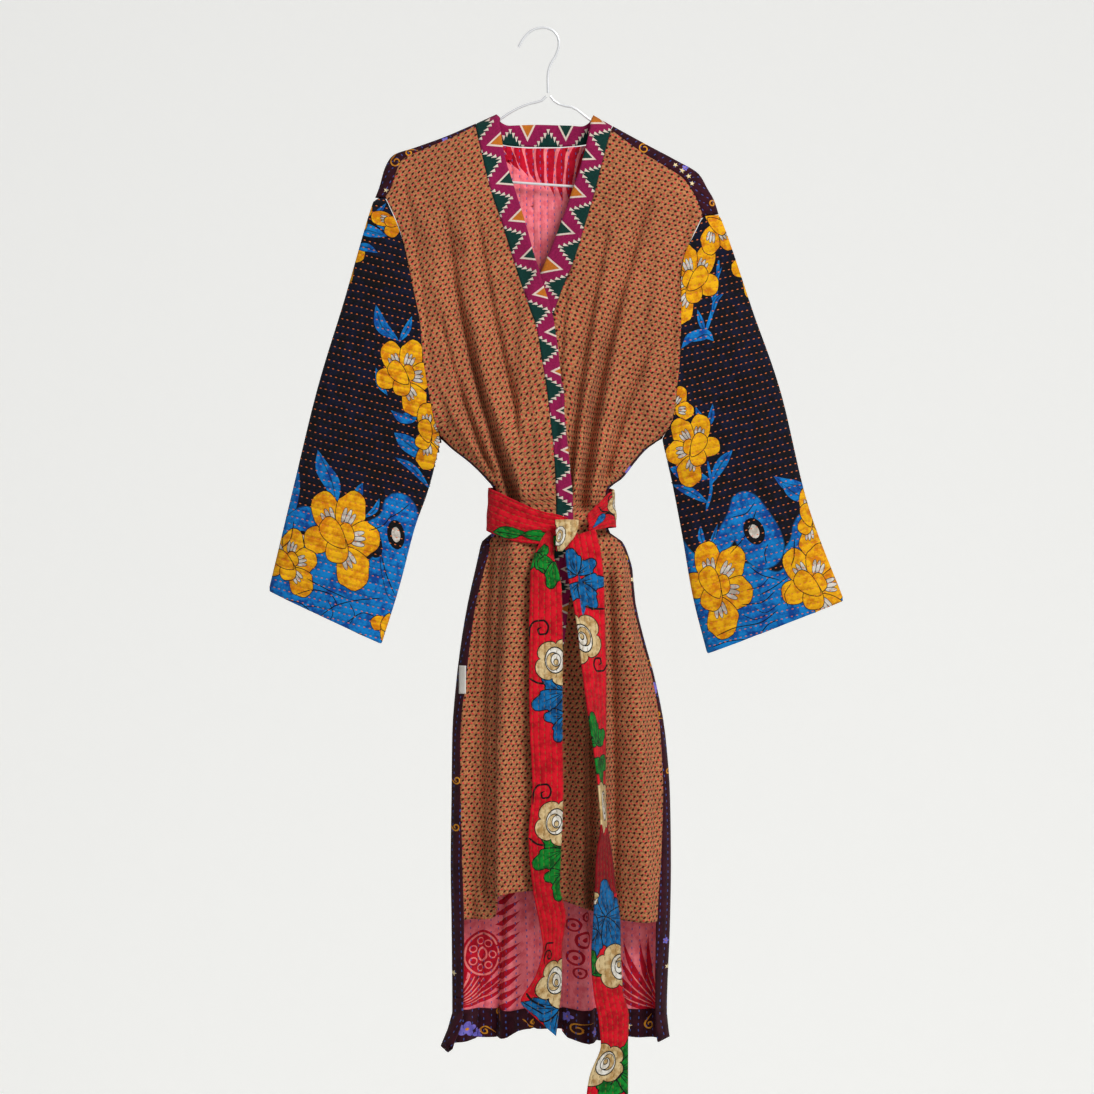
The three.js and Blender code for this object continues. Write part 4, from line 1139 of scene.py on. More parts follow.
def front_outline(side):
    """The front's flat outline (x, z), from the neck down its band seam and round."""
    inward = 1 if side == "left" else -1
    rows = SHOULDERS[side]
    share = np.linspace(0, 1, 32)
    seam, fold = line_at(rows, share, "seam"), line_at(rows, share, "fold")
    gap = (seam - fold) / np.linalg.norm(seam - fold, axis=1)[:, None] * SEAM_GAP
    shoulder = seam + gap
    z = np.linspace(rows["seamZ"][-1], band_foot(side), 190)[1:]
    centre = at_heights(BANDS[side], z, "seam")
    strip = curve(SIDES, "z", FRONT_HEM_SIDE, side + "Strip") + SEAM_GAP
    hem_side = curve(SIDES, "z", FRONT_HEM_SIDE, side) + inward * strip
    hem = hem_line(side, np.linspace(centre[-1, 0], hem_side, 26)[1:])
    z = np.linspace(FRONT_HEM_SIDE, UNDERARM, 120)[1:]
    low = np.stack([
        curve(SIDES, "z", z, side) + inward * (curve(SIDES, "z", z, side + "Strip") + SEAM_GAP), z,
    ], 1)
    z = np.linspace(UNDERARM, rows["seamZ"][0], 62)[1:-1]
    return np.concatenate([shoulder, centre, hem, low, at_heights(ARMHOLES[side], z, "x")])


def grain(side, points):
    """Places on the cloth of a front (mm): true lengths across its folds, and rows that slope
    where it hangs from the shoulder."""
    x, z = np.arange(-216.0, 228.0, 2.0), np.arange(-1100.0, -90.0, 8.0)
    net = np.stack(np.meshgrid(x, z), -1)
    place = front_point(side, net.reshape(-1, 2)).reshape(*net.shape[:2], 3)
    steps = np.linalg.norm(np.diff(place, axis=1), axis=2)
    across = np.concatenate([np.zeros((len(z), 1)), np.cumsum(steps, axis=1)], axis=1)
    anchor = int(np.searchsorted(x, -60 if side == "left" else 60))
    across -= across[:, anchor:anchor + 1]
    i = np.clip((points[:, 0] - x[0]) / 2.0, 0, len(x) - 1.001)
    j = np.clip((points[:, 1] - z[0]) / 8.0, 0, len(z) - 1.001)
    a, b = i.astype(int), j.astype(int)
    f, g = i - a, j - b
    length = lerp(lerp(across[b, a], across[b, a + 1], f),
                  lerp(across[b + 1, a], across[b + 1, a + 1], f), g)
    outer = -150 if side == "left" else 166
    slope = 0.26 * smooth((points[:, 1] + 640) / 330) * (1 if side == "left" else -1)
    return np.stack([length, points[:, 1] - slope * (points[:, 0] - outer)], 1)


def make_front(side, material):
    outline = front_outline(side)
    chart, triangles = triangulate(outline, field_points(outline, 3.2, FOLDED_EDGES))
    return make_piece(f"front_{side}", material, front_point(side, chart), triangles,
                      grain(side, chart), CLOTH)


# ------------------------------------------------------------------ neckbands


def make_neckband(side, material):
    outward = 1 if side == "left" else -1
    rows = SHOULDERS[side]
    foot = band_foot(side)
    v = np.linspace(0, 1, 230)
    z = lerp(rows["seamZ"][-1], foot, v)
    rise = 10 * (1 - smooth((-250 - z) / 150))
    seam = at_heights(BANDS[side], z, "seam") + (outward * SEAM_GAP, 0)
    edge = at_heights(BANDS[side], z + rise, "edge")
    top_seam = [rows["foldX"][-1] + 2 * outward * SEAM_GAP, rows["foldZ"][-1] - SEAM_GAP]
    top_edge = [NECK_FOLD[side][0], NECK_FOLD[side][1] - SEAM_GAP]
    seam = np.concatenate([[top_seam], seam])
    edge = np.concatenate([[top_edge], edge])
    u, k, triangles = grid_chart(np.linspace(0, 1, 9), np.arange(len(seam)))
    flat = seam[k] + (edge[k] - seam[k]) * u[:, None]
    last = k == len(seam) - 1
    flat[last] = hem_line(side, flat[last, 0])
    surface = front_point(side, flat)
    surface[:, 1] -= BAND_RISE
    middle = (seam + edge) / 2
    down = np.concatenate([[0], np.cumsum(np.linalg.norm(np.diff(middle, axis=0), axis=1))])
    wide = np.linalg.norm(edge - seam, axis=1)
    if side == "right":
        triangles = triangles[:, ::-1]
    return make_piece(f"neckband_{side}", material, surface, triangles,
                      np.stack([u * wide[k], -down[k]], 1), BAND_CLOTH)


def make_back_band(material):
    columns = np.linspace(BACK_BAND_GAP, 1 - BACK_BAND_GAP, 70)
    u, v, triangles = grid_chart(columns, np.linspace(0, 1 - BACK_BAND_GAP, 8))
    flat = lerp(line_at(BACK_BAND, u, "edge"), line_at(BACK_BAND, u, "seam"), v[:, None])
    x, z = flat.T
    surface = np.stack([x, half_depth(z, "back", inset_at(flat)), z], 1)
    return make_piece("neckband_back", material, surface, triangles[:, ::-1],
                      np.stack([BACK_BAND_WIDTH * (1 - v), x], 1), BAND_CLOTH)


# ------------------------------------------------------------------ back


def unfolded(line, points):
    """Points in front, turned out over a folded edge into the back's flat chart."""
    return 2 * nearest_on(line, points)[1] - points


def side_flap(side, edge):
    """The back's edge that comes round a side seam to the front, turned out into the chart."""
    inward = 1 if side == "left" else -1
    z = np.linspace(UNDERARM - SIDE_TURN, -1240, 130)
    seam = at_heights(SIDES, z, side)
    seam[:, 0] += inward * curve(SIDES, "z", z, side + "Strip")
    return unfolded(edge, seam)


def back_outline():
    share = np.linspace(0, 1, 32)
    left, right = (unfolded(FOLDED_EDGES[k], line_at(SHOULDERS[s], share, "seam"))
                   for k, s in ((0, "left"), (1, "right")))
    neck = line_at(BACK_BAND, np.linspace(0, 1, 60)[1:-1], "seam") - (0, SEAM_GAP)
    down = {}
    fold_tip = {}
    for side, rows in SHOULDERS.items():
        down[side] = at_heights(ARMHOLES[side], np.linspace(rows["seamZ"][0], UNDERARM, 56), "x")
        fold_tip[side] = [(rows["foldX"][0], rows["foldZ"][0])]
    hem = hem_line("back", np.linspace(SIDES["left"][-1], SIDES["right"][-1], 60))
    flaps = [side_flap("left", FOLDED_EDGES[2]), side_flap("right", FOLDED_EDGES[3])]
    flaps = [flap[flap[:, 1] > end[1] + 2] for flap, end in zip(flaps, (hem[0], hem[-1]))]
    corners = [[(flap[-1, 0], end[1])] for flap, end in zip(flaps, (hem[0], hem[-1]))]
    return np.concatenate([
        left, neck, right[::-1], fold_tip["right"], down["right"], flaps[1], corners[1],
        hem[::-1], corners[0], flaps[0][::-1], down["left"][::-1], fold_tip["left"],
    ])


def in_robe():
    """The robe's flat outline, inside which the back lies behind."""
    return np.concatenate([
        FOLDED_EDGES[0][::-1], FOLDED_EDGES[1], [[260, -400]],
        FOLDED_EDGES[3], [[SIDES["right"][-1], -1300], [SIDES["left"][-1], -1300]],
        FOLDED_EDGES[2][::-1], [[-250, -400]],
    ])


def back_point(points):
    """Points of the back's outer face over its flat chart."""
    behind = inside(in_robe(), points)
    flat = points.copy()
    reach = [nearest_on(line, points) for line in FOLDED_EDGES]
    far = np.array([r[0] for r in reach])
    best = far.argmin(axis=0)
    foot = np.array([r[1] for r in reach])[best, np.arange(len(points))]
    flat[~behind] = 2 * foot[~behind] - points[~behind]
    x, z = flat[:, 0], flat[:, 1]
    inset = far.min(axis=0)
    rise, shift = folds_at(FOLDS["back"], x, z, inset)
    soft = puckers(x, z, 3.0) * smooth((inset - 3) / 12)
    y = np.where(behind, half_depth(z, "back", inset) - rise - soft,
                 -half_depth(z, "front", inset))
    return np.stack([np.where(behind, x + shift, x), y, z], 1)


OUTSIDE_MOTIFS = [
    lambda x, y, t: scroll(x, y, 6.5, t),
    lambda x, y, t: violets(x, y, 7.5, t),
    lambda x, y, t: star(x, y, 4.2, t),
    lambda x, y, t: scroll(x, y, 5.0, t, -1),
    lambda x, y, t: star(x, y, 3.2, t) + scroll(x + 9, y + 4, 4.5, t),
]


# Motifs on the strips in front at places (x, z), and on the facing.
STRIP_MOTIFS = [
    (star, 168, -174, 4.0), (star, 176, -181, 3.6, 30), (star, 160, -167, 3.4, 50),
    (star, 180, -190, 3.2, 12), (violets, 172, -170, 4, 0), (scroll, 122, -147, 7, 60),
    (scroll, 205, -214, 4.5, 0), (scroll, -180, -163, 7, 120), (scroll, -164, -152, 5, 60),
    (star, -192, -198, 3.4), (scroll, -106, -915, 5, 200), (scroll, -107, -972, 5, 190),
    (star, -110, -1150, 4), (violets, 148, -1110, 4), (star, 150, -1142, 3.4), (scroll, 152, -905, 4),
    (violets, -120, -137, 5),
]
FACING_MOTIFS = [
    (violets, -96, -1222, 10, 10), (violets, -82, -1230, 8, 40), (scroll, -54, -1202, 6),
    (scroll, -72, -1226, 6, 40), (scroll, -15, -1216, 6, 200), (scroll, 40, -1222, 7, 80),
    (violets, 30, -1208, 7), (violets, 56, -1226, 6, 20), (star, 104, -1218, 6, 10),
    (scroll, 128, -1216, 6, 120), (scroll, 84, -1230, 5, 30),
]


def on_strip(shapes):
    """Shapes at places (x, z) on the strips in front, turned out into the back's chart."""
    made = []
    for colour, shape in shapes:
        reach = [nearest_on(line, shape) for line in FOLDED_EDGES]
        best = int(np.argmin([r[0].min() for r in reach]))
        made.append((colour, 2 * reach[best][1] - shape))
    return made


def back_prints():
    outside = scattered((-84, -1200), (124, -220), 34.0, 5, OUTSIDE_MOTIFS)
    outside += scattered((-150, -480), (160, -180), 40.0, 8, OUTSIDE_MOTIFS)
    outside += on_strip(drawn(STRIP_MOTIFS))
    within = []
    for k in range(9):
        x, long = 62 - 13.5 * k, 96 - 7.5 * k
        path = [(x, -128), (x - 13, -128 - 0.3 * long), (x - 20 + 2 * k, -128 - 0.68 * long),
                (x - 18 + 3 * k, -128 - long)]
        within.append(("crimson", blade(path, 10.5, 18, 0.4)))
        within.append(("blush", blade([(px + 5.4, py) for px, py in path[:3]], 1.7, 12, 0.4)))
    within += plume(-86, -340, -60, 30, 9, 96, 40) + plume(80, -480, 240, 150, 9, 96, -40)
    within += plume(-70, -660, -70, 40, 9, 100, 40) + plume(84, -820, 250, 140, 9, 100, -40)
    within += plume(-50, -960, 240, 130, 9, 90, -30)
    within += plume(-112, -1196, 8, 62, 8, 92, 26) + swirl(-76, -1132, 24)
    within += [("crimson", blade([(-60, z), (-46, z + 4), (-26, z + 20)], 7.4, 12, 0.5))
               for z in range(-1200, -1060, 13)]
    within += [("blush", blade([(-58, z + 5), (-44, z + 10), (-30, z + 22)], 1.5, 8, 0.5))
               for z in range(-1200, -1060, 13)]
    within += plume(152, -1200, 176, 104, 9, 104, -36, 8.0)
    for x, z, size in ((34, -1094, 7), (44, -1112, 9), (36, -1134, 8), (46, -1084, 5), (40, -1152, 6)):
        within += [("crimson", oval(x, z, size, 1.2 * size)), ("pink", oval(x, z, 0.7 * size, 0.85 * size)),
                   ("crimson", oval(x, z, 0.3 * size, 0.35 * size, 0, 12))]
    within += [("plum", np.array([(-300, -1180), (-112, -1180), (-112, -1300), (-300, -1300)])),
               ("plum", np.array([(151, -1196), (300, -1196), (300, -1300), (151, -1300)]))]
    return outside, within


def make_back(material):
    outline = back_outline()
    outside, pink = back_prints()
    chart, triangles = triangulate(outline, field_points(outline, 5.0, FOLDED_EDGES),
                                   [line[1:] for line in FOLDED_EDGES],
                                   [shape for _, shape in outside + pink])
    paint = [painted(chart, triangles, outside, "plum"), painted(chart, triangles, pink, "pink")]
    return make_piece("back", material, back_point(chart), triangles[:, ::-1], chart,
                      CLOTH, 0.0, paint)


def make_facing(material):
    left, right = (np.array([SIDES["left"], SIDES["right"]]) + [[6], [-6]])[:, [-1, -2]]
    hem = hem_line("back", np.linspace(left[0], right[0], 70))
    top = np.stack([np.linspace(left[1], right[1], 70), np.full(70, FACING_TOP)], 1)
    outline = np.concatenate([hem, top[::-1]])
    shapes = drawn(FACING_MOTIFS)
    chart, triangles = triangulate(outline, field_points(outline, 4.0), (), [s for _, s in shapes])
    paint = painted(chart, triangles, shapes, "plum")
    return make_piece("hem_facing", material, back_point(chart), triangles[:, ::-1],
                      chart, FACING_CLOTH, -CLOTH - FACING_GAP, [paint, paint])


# ------------------------------------------------------------------ sleeves

SLEEVE_WIDTH = 190.0
SLEEVE_LENGTH = 505.0
SLEEVE_START = 0.003
SLEEVE_ROW = 0.25


def armhole_line(side):
    rows = SHOULDERS[side]
    line = at_heights(ARMHOLES[side], np.linspace(rows["seamZ"][0], UNDERARM, 30), "x")
    line = np.concatenate([[[rows["foldX"][0], rows["foldZ"][0]]], line])
    steps = np.linalg.norm(np.diff(line, axis=0), axis=1)
    shares = np.concatenate([[0], np.cumsum(steps)]) / steps.sum()
    return line, shares


def sleeve_flat(side, across, down):
    """Place (x, z) of a share across and down a sleeve, also a little past its edges."""
    rows = SLEEVES[side]
    line, shares = armhole_line(side)
    held = np.clip(down, 0, 1)
    own = smooth(held * SLEEVE_BLEND)
    end = np.where(down > 1, len(rows["share"]) - 2, 0)
    places = []
    for k, (outer, inner) in enumerate((("outerX", "innerX"), ("outerZ", "innerZ"))):
        a, b = curve(rows, "share", held, outer), curve(rows, "share", held, inner)
        for_a, for_b = ((rows[c][end + 1] - rows[c][end]) / SLEEVE_ROW for c in (outer, inner))
        bulge = line[:, k] - lerp(line[0, k], line[-1, k], shares)
        beyond = (down - held) * lerp(for_a, for_b, across)
        places.append(lerp(a, b, across) + np.interp(across, shares, bulge) * (1 - own) + beyond)
    return np.stack(places, 1)


def sleeve_chart(side, points):
    """Where points (x, z) in front lie on the sleeve's flat chart, found by Newton's steps."""
    points = np.asarray(points, float)
    share = np.full((len(points), 2), 0.5)
    for _ in range(14):
        here = sleeve_flat(side, share[:, 0], share[:, 1])
        dx = (sleeve_flat(side, share[:, 0] + 1e-4, share[:, 1]) - here) / 1e-4
        dz = (sleeve_flat(side, share[:, 0], share[:, 1] + 1e-4) - here) / 1e-4
        jacobian = np.stack([dx, dz], 2)
        share += np.clip(np.linalg.solve(jacobian, (points - here)[:, :, None])[:, :, 0], -0.4, 0.4)
        share = np.clip(share, -0.45, 1.45)
    return share * (SLEEVE_WIDTH, -SLEEVE_LENGTH)


def sleeve_point(side, chart):
    across, down = chart[:, 0] / SLEEVE_WIDTH, -chart[:, 1] / SLEEVE_LENGTH
    in_front = (across >= 0) & (across <= 1)
    share = np.where(across > 1, 2 - across, np.abs(across))
    flat = sleeve_flat(side, share, down)
    x, z = flat.T
    own = smooth(np.clip(down, 0, 1) * SLEEVE_BLEND)
    half = curve(SLEEVES[side], "share", down, "half")
    level = 2 * np.sqrt(np.clip(share * (1 - share), 0, None))
    own_depth = half * level**SLEEVE_BOXINESS
    inset = inset_at(flat)
    body = np.where(in_front, half_depth(z, "front", inset), half_depth(z, "back", inset))
    depth = lerp(body, own_depth, own)
    seed = 4.0 if side == "left" else 5.0
    soft = 1.2 * puckers(x, z, seed) * smooth(level * 2 - 0.5)
    ridge = sleeve_creases(side, share, down, in_front) * smooth(level * 2 - 0.4)
    y = np.where(in_front, -1, 1) * (depth + soft * np.minimum(1, down * 8) + ridge)
    return np.stack([x, y, z], 1)


# Long soft creases of the sleeves: share across and down at both ends, width and rise.
CREASES = table("a0 v0 a1 v1 width rise", [
    (0.9, 0.06, 0.4, 0.5, 0.10, 2.6), (0.8, 0.1, 0.62, 0.62, 0.07, -1.8),
    (0.95, 0.2, 0.5, 0.8, 0.08, 1.6), (0.2, 0.1, 0.3, 0.6, 0.09, 1.4),
    (0.35, 0.5, 0.2, 0.98, 0.08, 1.5), (0.7, 0.55, 0.75, 0.98, 0.08, -1.4),
    (0.55, 0.7, 0.5, 1.0, 0.06, 1.2),
])


def sleeve_creases(side, across, down, in_front):
    total = np.zeros_like(across)
    for k in range(len(CREASES["a0"])):
        c = {name: column[k] for name, column in CREASES.items()}
        place = across if side == "left" else across + 0.04
        place = np.where(in_front, place, 1.05 - place)
        t = np.clip((down - c["v0"]) / (c["v1"] - c["v0"]), 0, 1)
        away = np.minimum(1, np.abs(place - lerp(c["a0"], c["a1"], t)) / c["width"])
        ends = smooth((down - c["v0"] + 0.05) / 0.12) * smooth((c["v1"] + 0.05 - down) / 0.12)
        total += c["rise"] * 0.5 * (1 + np.cos(np.pi * away)) * ends
    return total


# The printed shapes of the sleeves' fronts, each with its maker and its points (x, z).
SLEEVE_SHAPES = {
    "left": [
        (leaf, "-300 -531, -303 -560, -314 -600, -322 -620", 15),
        (spread_blue, "-328 -640, -318 -604, -304 -588, -286 -584, -272 -600, -262 -632, -240 -648, "
                      "-218 -660, -210 -646, -196 -640, -184 -656, -168 -684, -170 -720, -192 -775, "
                      "-345 -710, -336 -672"),
        (spread_blue, "-198 -592, -193 -576, -184 -568, -172 -568, -161 -576, -154 -594, -158 -632, "
                      "-166 -664, -176 -692, -189 -692, -198 -654, -197 -628, -206 -612, -218 -604, "
                      "-210 -600"),
        (hole, "-219 -616, -208 -614, -198 -622, -197 -640, -206 -645, -216 -634"),
        (sprig, "-275 -514, -270 -534, -256 -558, -252 -582", 20),
        (sprig, "-220 -554, -225 -566, -227 -584", 11),
        (sprig, "-200 -573, -205 -586, -219 -597", 7),
        (sprig, "-182 -493, -165 -507, -130 -533", 19),
        (sprig, "-181 -523, -161 -535, -138 -562", 9),
        (sprig, "-190 -255, -212 -248, -232 -242", 15),
        (sprig, "-202 -275, -216 -268, -232 -266", 10),
        (sprig, "-192 -214, -203 -232, -186 -252", 10),
        (sprig, "-204 -338, -198 -362, -176 -382", 15),
        (sprig, "-160 -352, -166 -368, -176 -384", 9),
        (sprig, "-204 -414, -200 -432, -190 -448", 8),
        (sprig, "-186 -466, -172 -476, -160 -474, -156 -466", 14),
        (stalk, "-164 -450, -163 -462, -168 -472", 3.2),
    ],
    "right": [
        (spread_blue, "164 -622, 182 -640, 212 -652, 228 -664, 238 -652, 262 -656, 286 -662, "
                      "306 -640, 328 -648, 350 -628, 378 -700, 205 -785, 178 -700"),
        (spread_blue, "224 -590, 230 -572, 243 -565, 258 -571, 273 -590, 286 -612, 291 -634, "
                      "282 -652, 262 -658, 243 -644, 232 -624, 224 -634, 212 -642, 203 -640, "
                      "210 -618"),
        (spread_blue, "292 -640, 300 -622, 304 -604, 314 -592, 322 -620, 318 -640"),
        (sprig, "184 -462, 190 -476, 198 -487", 9),
        (sprig, "205 -458, 203 -474, 199 -487", 8),
        (sprig, "229 -514, 216 -530, 201 -558", 13),
        (sprig, "152 -535, 172 -543, 201 -549", 18),
        (sprig, "156 -556, 176 -564, 201 -580", 11),
        (stalk, "199 -528, 203 -560, 197 -588", 3.4),
        (sprig, "279 -546, 297 -556, 322 -558", 14),
        (sprig, "288 -554, 304 -566, 326 -578", 16),
        (sprig, "190 -606, 191 -620, 196 -632", 8),
        (sprig, "211 -604, 206 -620, 200 -634", 5),
        (stalk, "212 -284, 208 -330, 196 -372", 4.2),
        (sprig, "216 -292, 206 -316, 206 -340", 8),
        (sprig, "218 -324, 208 -334, 204 -352", 6),
        (sprig, "186 -344, 190 -358, 196 -374", 7),
        (sprig, "166 -392, 178 -378, 196 -374, 206 -382", 14),
    ],
}
SLEEVE_EYES = {
    "left": [(-180, -617, 10.5, 18, 8), (-294, -622, 9, 10, 0)],
    "right": [(255, -613, 12.5, 17, 24), (326, -640, 9, 9.5, 0)],
}
# Flowers: place, size, turn, flip, how wide, and which petals.
SLEEVE_FLOWERS = {
    "left": [
        (-172, -426, 86, 4, 1, 0.82), (-142, -496, 70, -24, 1, 0.9, (1, 2, 3, 4, 6, 7)),
        (-226, -222, 66, 96, 1, 0.9, (0, 1, 2, 6, 7)), (-178, -236, 60, 60, 1, 0.8, (0, 1, 4, 7)),
        (-250, -622, 112, 2, 1, 0.82), (-312, -652, 78, 12),
        (-190, -720, 58, -160, -1, 0.8, (0, 1, 2, 7)),
    ],
    "right": [
        (154, -466, 56, 0, 1, 0.9, (1, 2, 3, 7)), (184, -513, 78, 10, -1),
        (182, -312, 92, -6, -1, 0.72), (206, -238, 72, 196, 1, 0.8, (0, 1, 2, 6, 7)),
        (322, -598, 74, -20, 1, 0.8, (1, 2, 3, 4, 6, 7)), (326, -682, 100, 12, 1),
        (207, -682, 106, -8, 1, 0.8),
    ],
}
# Ink lines: their width, and their points, with ; between lines.
SLEEVE_INK = {
    "left": [
        (1.2, "-320 -634, -308 -622, -304 -600; -288 -670, -262 -684, -240 -694; "
              "-272 -716, -250 -702, -222 -696, -196 -694; "
              "-302 -690, -280 -684, -258 -690, -250 -704; -240 -724, -220 -712, -206 -716; "
              "-198 -640, -192 -664, -182 -690; -322 -694, -296 -700, -276 -718; "
              "-190 -598, -176 -590, -164 -580; -212 -612, -196 -606, -184 -592; "
              "-256 -728, -236 -734, -216 -740"),
        (0.9, "-300 -706, -282 -704, -262 -708; -262 -696, -256 -712, -262 -724; "
              "-236 -700, -230 -714, -236 -726; -170 -640, -166 -656, -172 -672"),
    ],
    "right": [
        (1.2, "226 -640, 240 -624, 252 -604, 258 -586; 250 -656, 264 -666, 286 -672; "
              "240 -702, 262 -700, 280 -686; 210 -740, 232 -730, 262 -724, 284 -708; "
              "204 -754, 226 -746, 246 -744; 262 -690, 280 -680, 296 -668; "
              "262 -738, 272 -726, 284 -720; 228 -596, 244 -592, 256 -578; "
              "300 -656, 304 -640, 304 -622; 270 -652, 268 -640, 272 -628"),
        (0.9, "256 -706, 268 -712, 286 -700; 240 -714, 256 -720, 270 -714; "
              "300 -676, 292 -690, 296 -704; 246 -684, 262 -680, 274 -668"),
    ],
}
# Flowers behind: places on the sleeve's chart, and sizes.
SLEEVE_BEHIND = {
    "left": [
        (-30, -80, 80), (-50, -230, 64), (250, -180, 84), (262, -420, 104),
        (214, -470, 70), (-40, -440, 96),
    ],
    "right": [
        (-30, -80, 80), (-50, -250, 64), (250, -160, 84), (262, -400, 104),
        (214, -480, 70), (-40, -430, 96),
    ],
}


def sleeve_prints(side):
    """The printed flowers and leaves on the sleeve's chart, those behind first."""
    made = drawn([(maker, places(text), *rest) for maker, text, *rest in SLEEVE_SHAPES[side]])
    made += drawn([(seed_eye, *row) for row in SLEEVE_EYES[side]])
    made += drawn([(flower, *row) for row in SLEEVE_FLOWERS[side]])
    made += drawn([(ink, places(line), width) for width, text in SLEEVE_INK[side]
                   for line in text.split(";")])
    wide, low = SLEEVE_WIDTH, -SLEEVE_LENGTH
    back = [("blue", np.array(corners)) for corners in (
        [(wide + 1, low + 76), (wide + 40, low + 92), (wide + 84, low + 70), (wide + 84, low - 10),
         (wide + 1, low - 10)],
        [(-1, low + 80), (-40, low + 96), (-84, low + 66), (-84, low - 10), (-1, low - 10)])]
    for x, y, size in SLEEVE_BEHIND[side]:
        back += sprig([(x + 6, y + 0.55 * size), (x + 14, y + 0.3 * size), (x + 10, y)], 12)
        back += sprig([(x - 0.4 * size, y - 0.5 * size), (x - 12, y - 0.3 * size), (x, y)], 11)
        back += flower(x, y, size, 12)
    edge = wide / 2 - 2
    back = [(colour, np.clip(shape, (-edge, -9999), (wide + edge, 9999)))
            for colour, shape in back if not ((shape[:, 0] > 0) & (shape[:, 0] < wide)).all()]
    return back + [(colour, sleeve_chart(side, shape)) for colour, shape in made]


# Rows of stitches run straight across a sleeve, at this slope from level.
STITCH_SLOPE = 15.0


def sleeve_cloth_places(side, surface):
    """Where each point lies along and across the straight rows of stitches (mm)."""
    slope = STITCH_SLOPE * (-1 if side == "left" else 1)
    return turned(surface[:, [0, 2]], -slope)


def make_sleeve(side, material):
    low, high = -SLEEVE_WIDTH / 2, 1.5 * SLEEVE_WIDTH
    top, foot = -SLEEVE_START * SLEEVE_LENGTH, -SLEEVE_LENGTH
    outline = rectangle(np.linspace(low, high, 90), np.linspace(top, foot, 110))
    folds = [np.array([(edge, top), (edge, foot)]) for edge in (0.0, SLEEVE_WIDTH)]
    shapes = [(c, np.clip(s, (low + 1, -2e3), (high - 1, 2e3))) for c, s in sleeve_prints(side)]
    chart, triangles = triangulate(outline, field_points(outline, 5.0, folds),
                                   [spaced(line, 5.0)[1:-1] for line in folds],
                                   [s for _, s in shapes])
    cuts = [np.flatnonzero(np.abs(chart[:, 0] - edge) < 1e-3) for edge in (low, high)]
    left, right = (edge[chart[edge, 1].argsort()] for edge in cuts)
    if len(left) != len(right):
        raise ValueError("the sleeve's two cut edges don't have the same points")
    joined = np.arange(len(chart))
    joined[right] = left
    paint = [painted(chart, triangles, shown, "night") for shown in (shapes, [])]
    if side == "right":
        triangles = triangles[:, ::-1]
    surface = sleeve_point(side, chart)
    return make_piece(f"sleeve_{side}", material, surface, triangles,
                      sleeve_cloth_places(side, surface), CLOTH, 0.0, paint, joined[triangles])


# ------------------------------------------------------------------ belt

TAIL_WIDTH = 40.0
LOOP_WIDTH = 50.0


def tail_point(rows, chart):
    across = chart[:, 0] / TAIL_WIDTH
    middle = 0.5 * (rows["leftZ"] + rows["rightZ"])
    data = {"z": middle, **rows}
    place = {name: curve(data, "z", chart[:, 1], name) for name in rows}
    x = lerp(place["leftX"], place["rightX"], across)
    y = lerp(place["leftY"], place["rightY"], across) - 2 * np.sin(np.pi * across)
    z = lerp(place["leftZ"], place["rightZ"], across)
    soft = 0.5 * puckers(x + across * 20, z, 6.0) * np.sin(np.pi * across)
    return np.stack([x, y - soft, z], 1)


# Printed blossoms, leaves and curls, and a patch of painted shade, at places (across, z) on a belt end.
TAIL_PRINTS = {
    "left": [
        (trefoil, 4, -640, 26, -50, "green"), (trefoil, 36, -650, 30, -110, "green"),
        (curl, 14, -729, 9.5, 0, 2.4), (ink, [(0, -789), (12, -795), (27, -796)], 2.4),
        (trefoil, 42, -806, 38, 205, "leaf_blue"), (trefoil, 44, -834, 30, -110, "leaf_blue"),
        (blossom, 37, -768, 50, 175), (curl, 15, -925, 9.5, 0, 2.4),
        (ink, [(0, -980), (12, -988), (27, -990)], 2.4), (trefoil, 42, -996, 38, 205, "green"),
        (trefoil, 44, -1026, 30, -110, "green"), (blossom, 38, -962, 50, 170),
        (ink, [(4, -1116), (10, -1106), (22, -1106)], 2.2), (curl, 13, -1121, 6, 20),
        (trefoil, 40, -1178, 40, 200, "leaf_blue"), (blossom, 37, -1150, 50, 175),
        (ink, [(2, -1170), (12, -1178), (26, -1182)], 2.6),
        (ink, [(2, -1184), (12, -1188), (24, -1190)], 2.2),
    ],
    "right": [
        (trefoil, 12, -674, 32, -64, "leaf_blue"), (trefoil, 10, -664, 30, 100, "leaf_blue"),
        (patch, "leaf_blue", blade([(12, -664), (14, -690), (10, -716)], 9)),
        (ink, [(14, -703), (28, -706), (40, -706)], 2.4), (blossom, 0, -742, 54, 10),
        (curl, 28, -772, 9.0, 175, 2.4), (trefoil, 8, -866, 34, 92, "green"),
        (trefoil, 14, -884, 32, -84, "green"), (blossom, 14, -940, 56, 0),
        # This darker red patch is painted shade on the twist of the belt end, not a print.
        (patch, "wine", rounded([(-6, -962), (20, -976), (46, -960), (46, -1040), (-6, -1044)], 30)),
        (blossom, 2, -1058, 30, 0), (trefoil, 24, -1076, 44, 100, "leaf_blue"),
        (trefoil, 18, -1074, 44, -70, "leaf_blue"), (trefoil, 6, -1090, 34, 200, "leaf_blue"),
        (trefoil, 0, -1142, 26, 90, "green"), (blossom, 32, -1134, 48, 350),
        (trefoil, 34, -1264, 44, 70, "green"), (trefoil, 28, -1260, 44, -40, "green"),
        (blossom, 8, -1250, 46, 0), (trefoil, 14, -1300, 40, -120, "green"),
        (blossom, 38, -1322, 36, 20), (trefoil, 4, -1342, 30, 150, "leaf_blue"),
        (ink, [(22, -1276), (28, -1270), (34, -1262)], 1.6),
    ],
}


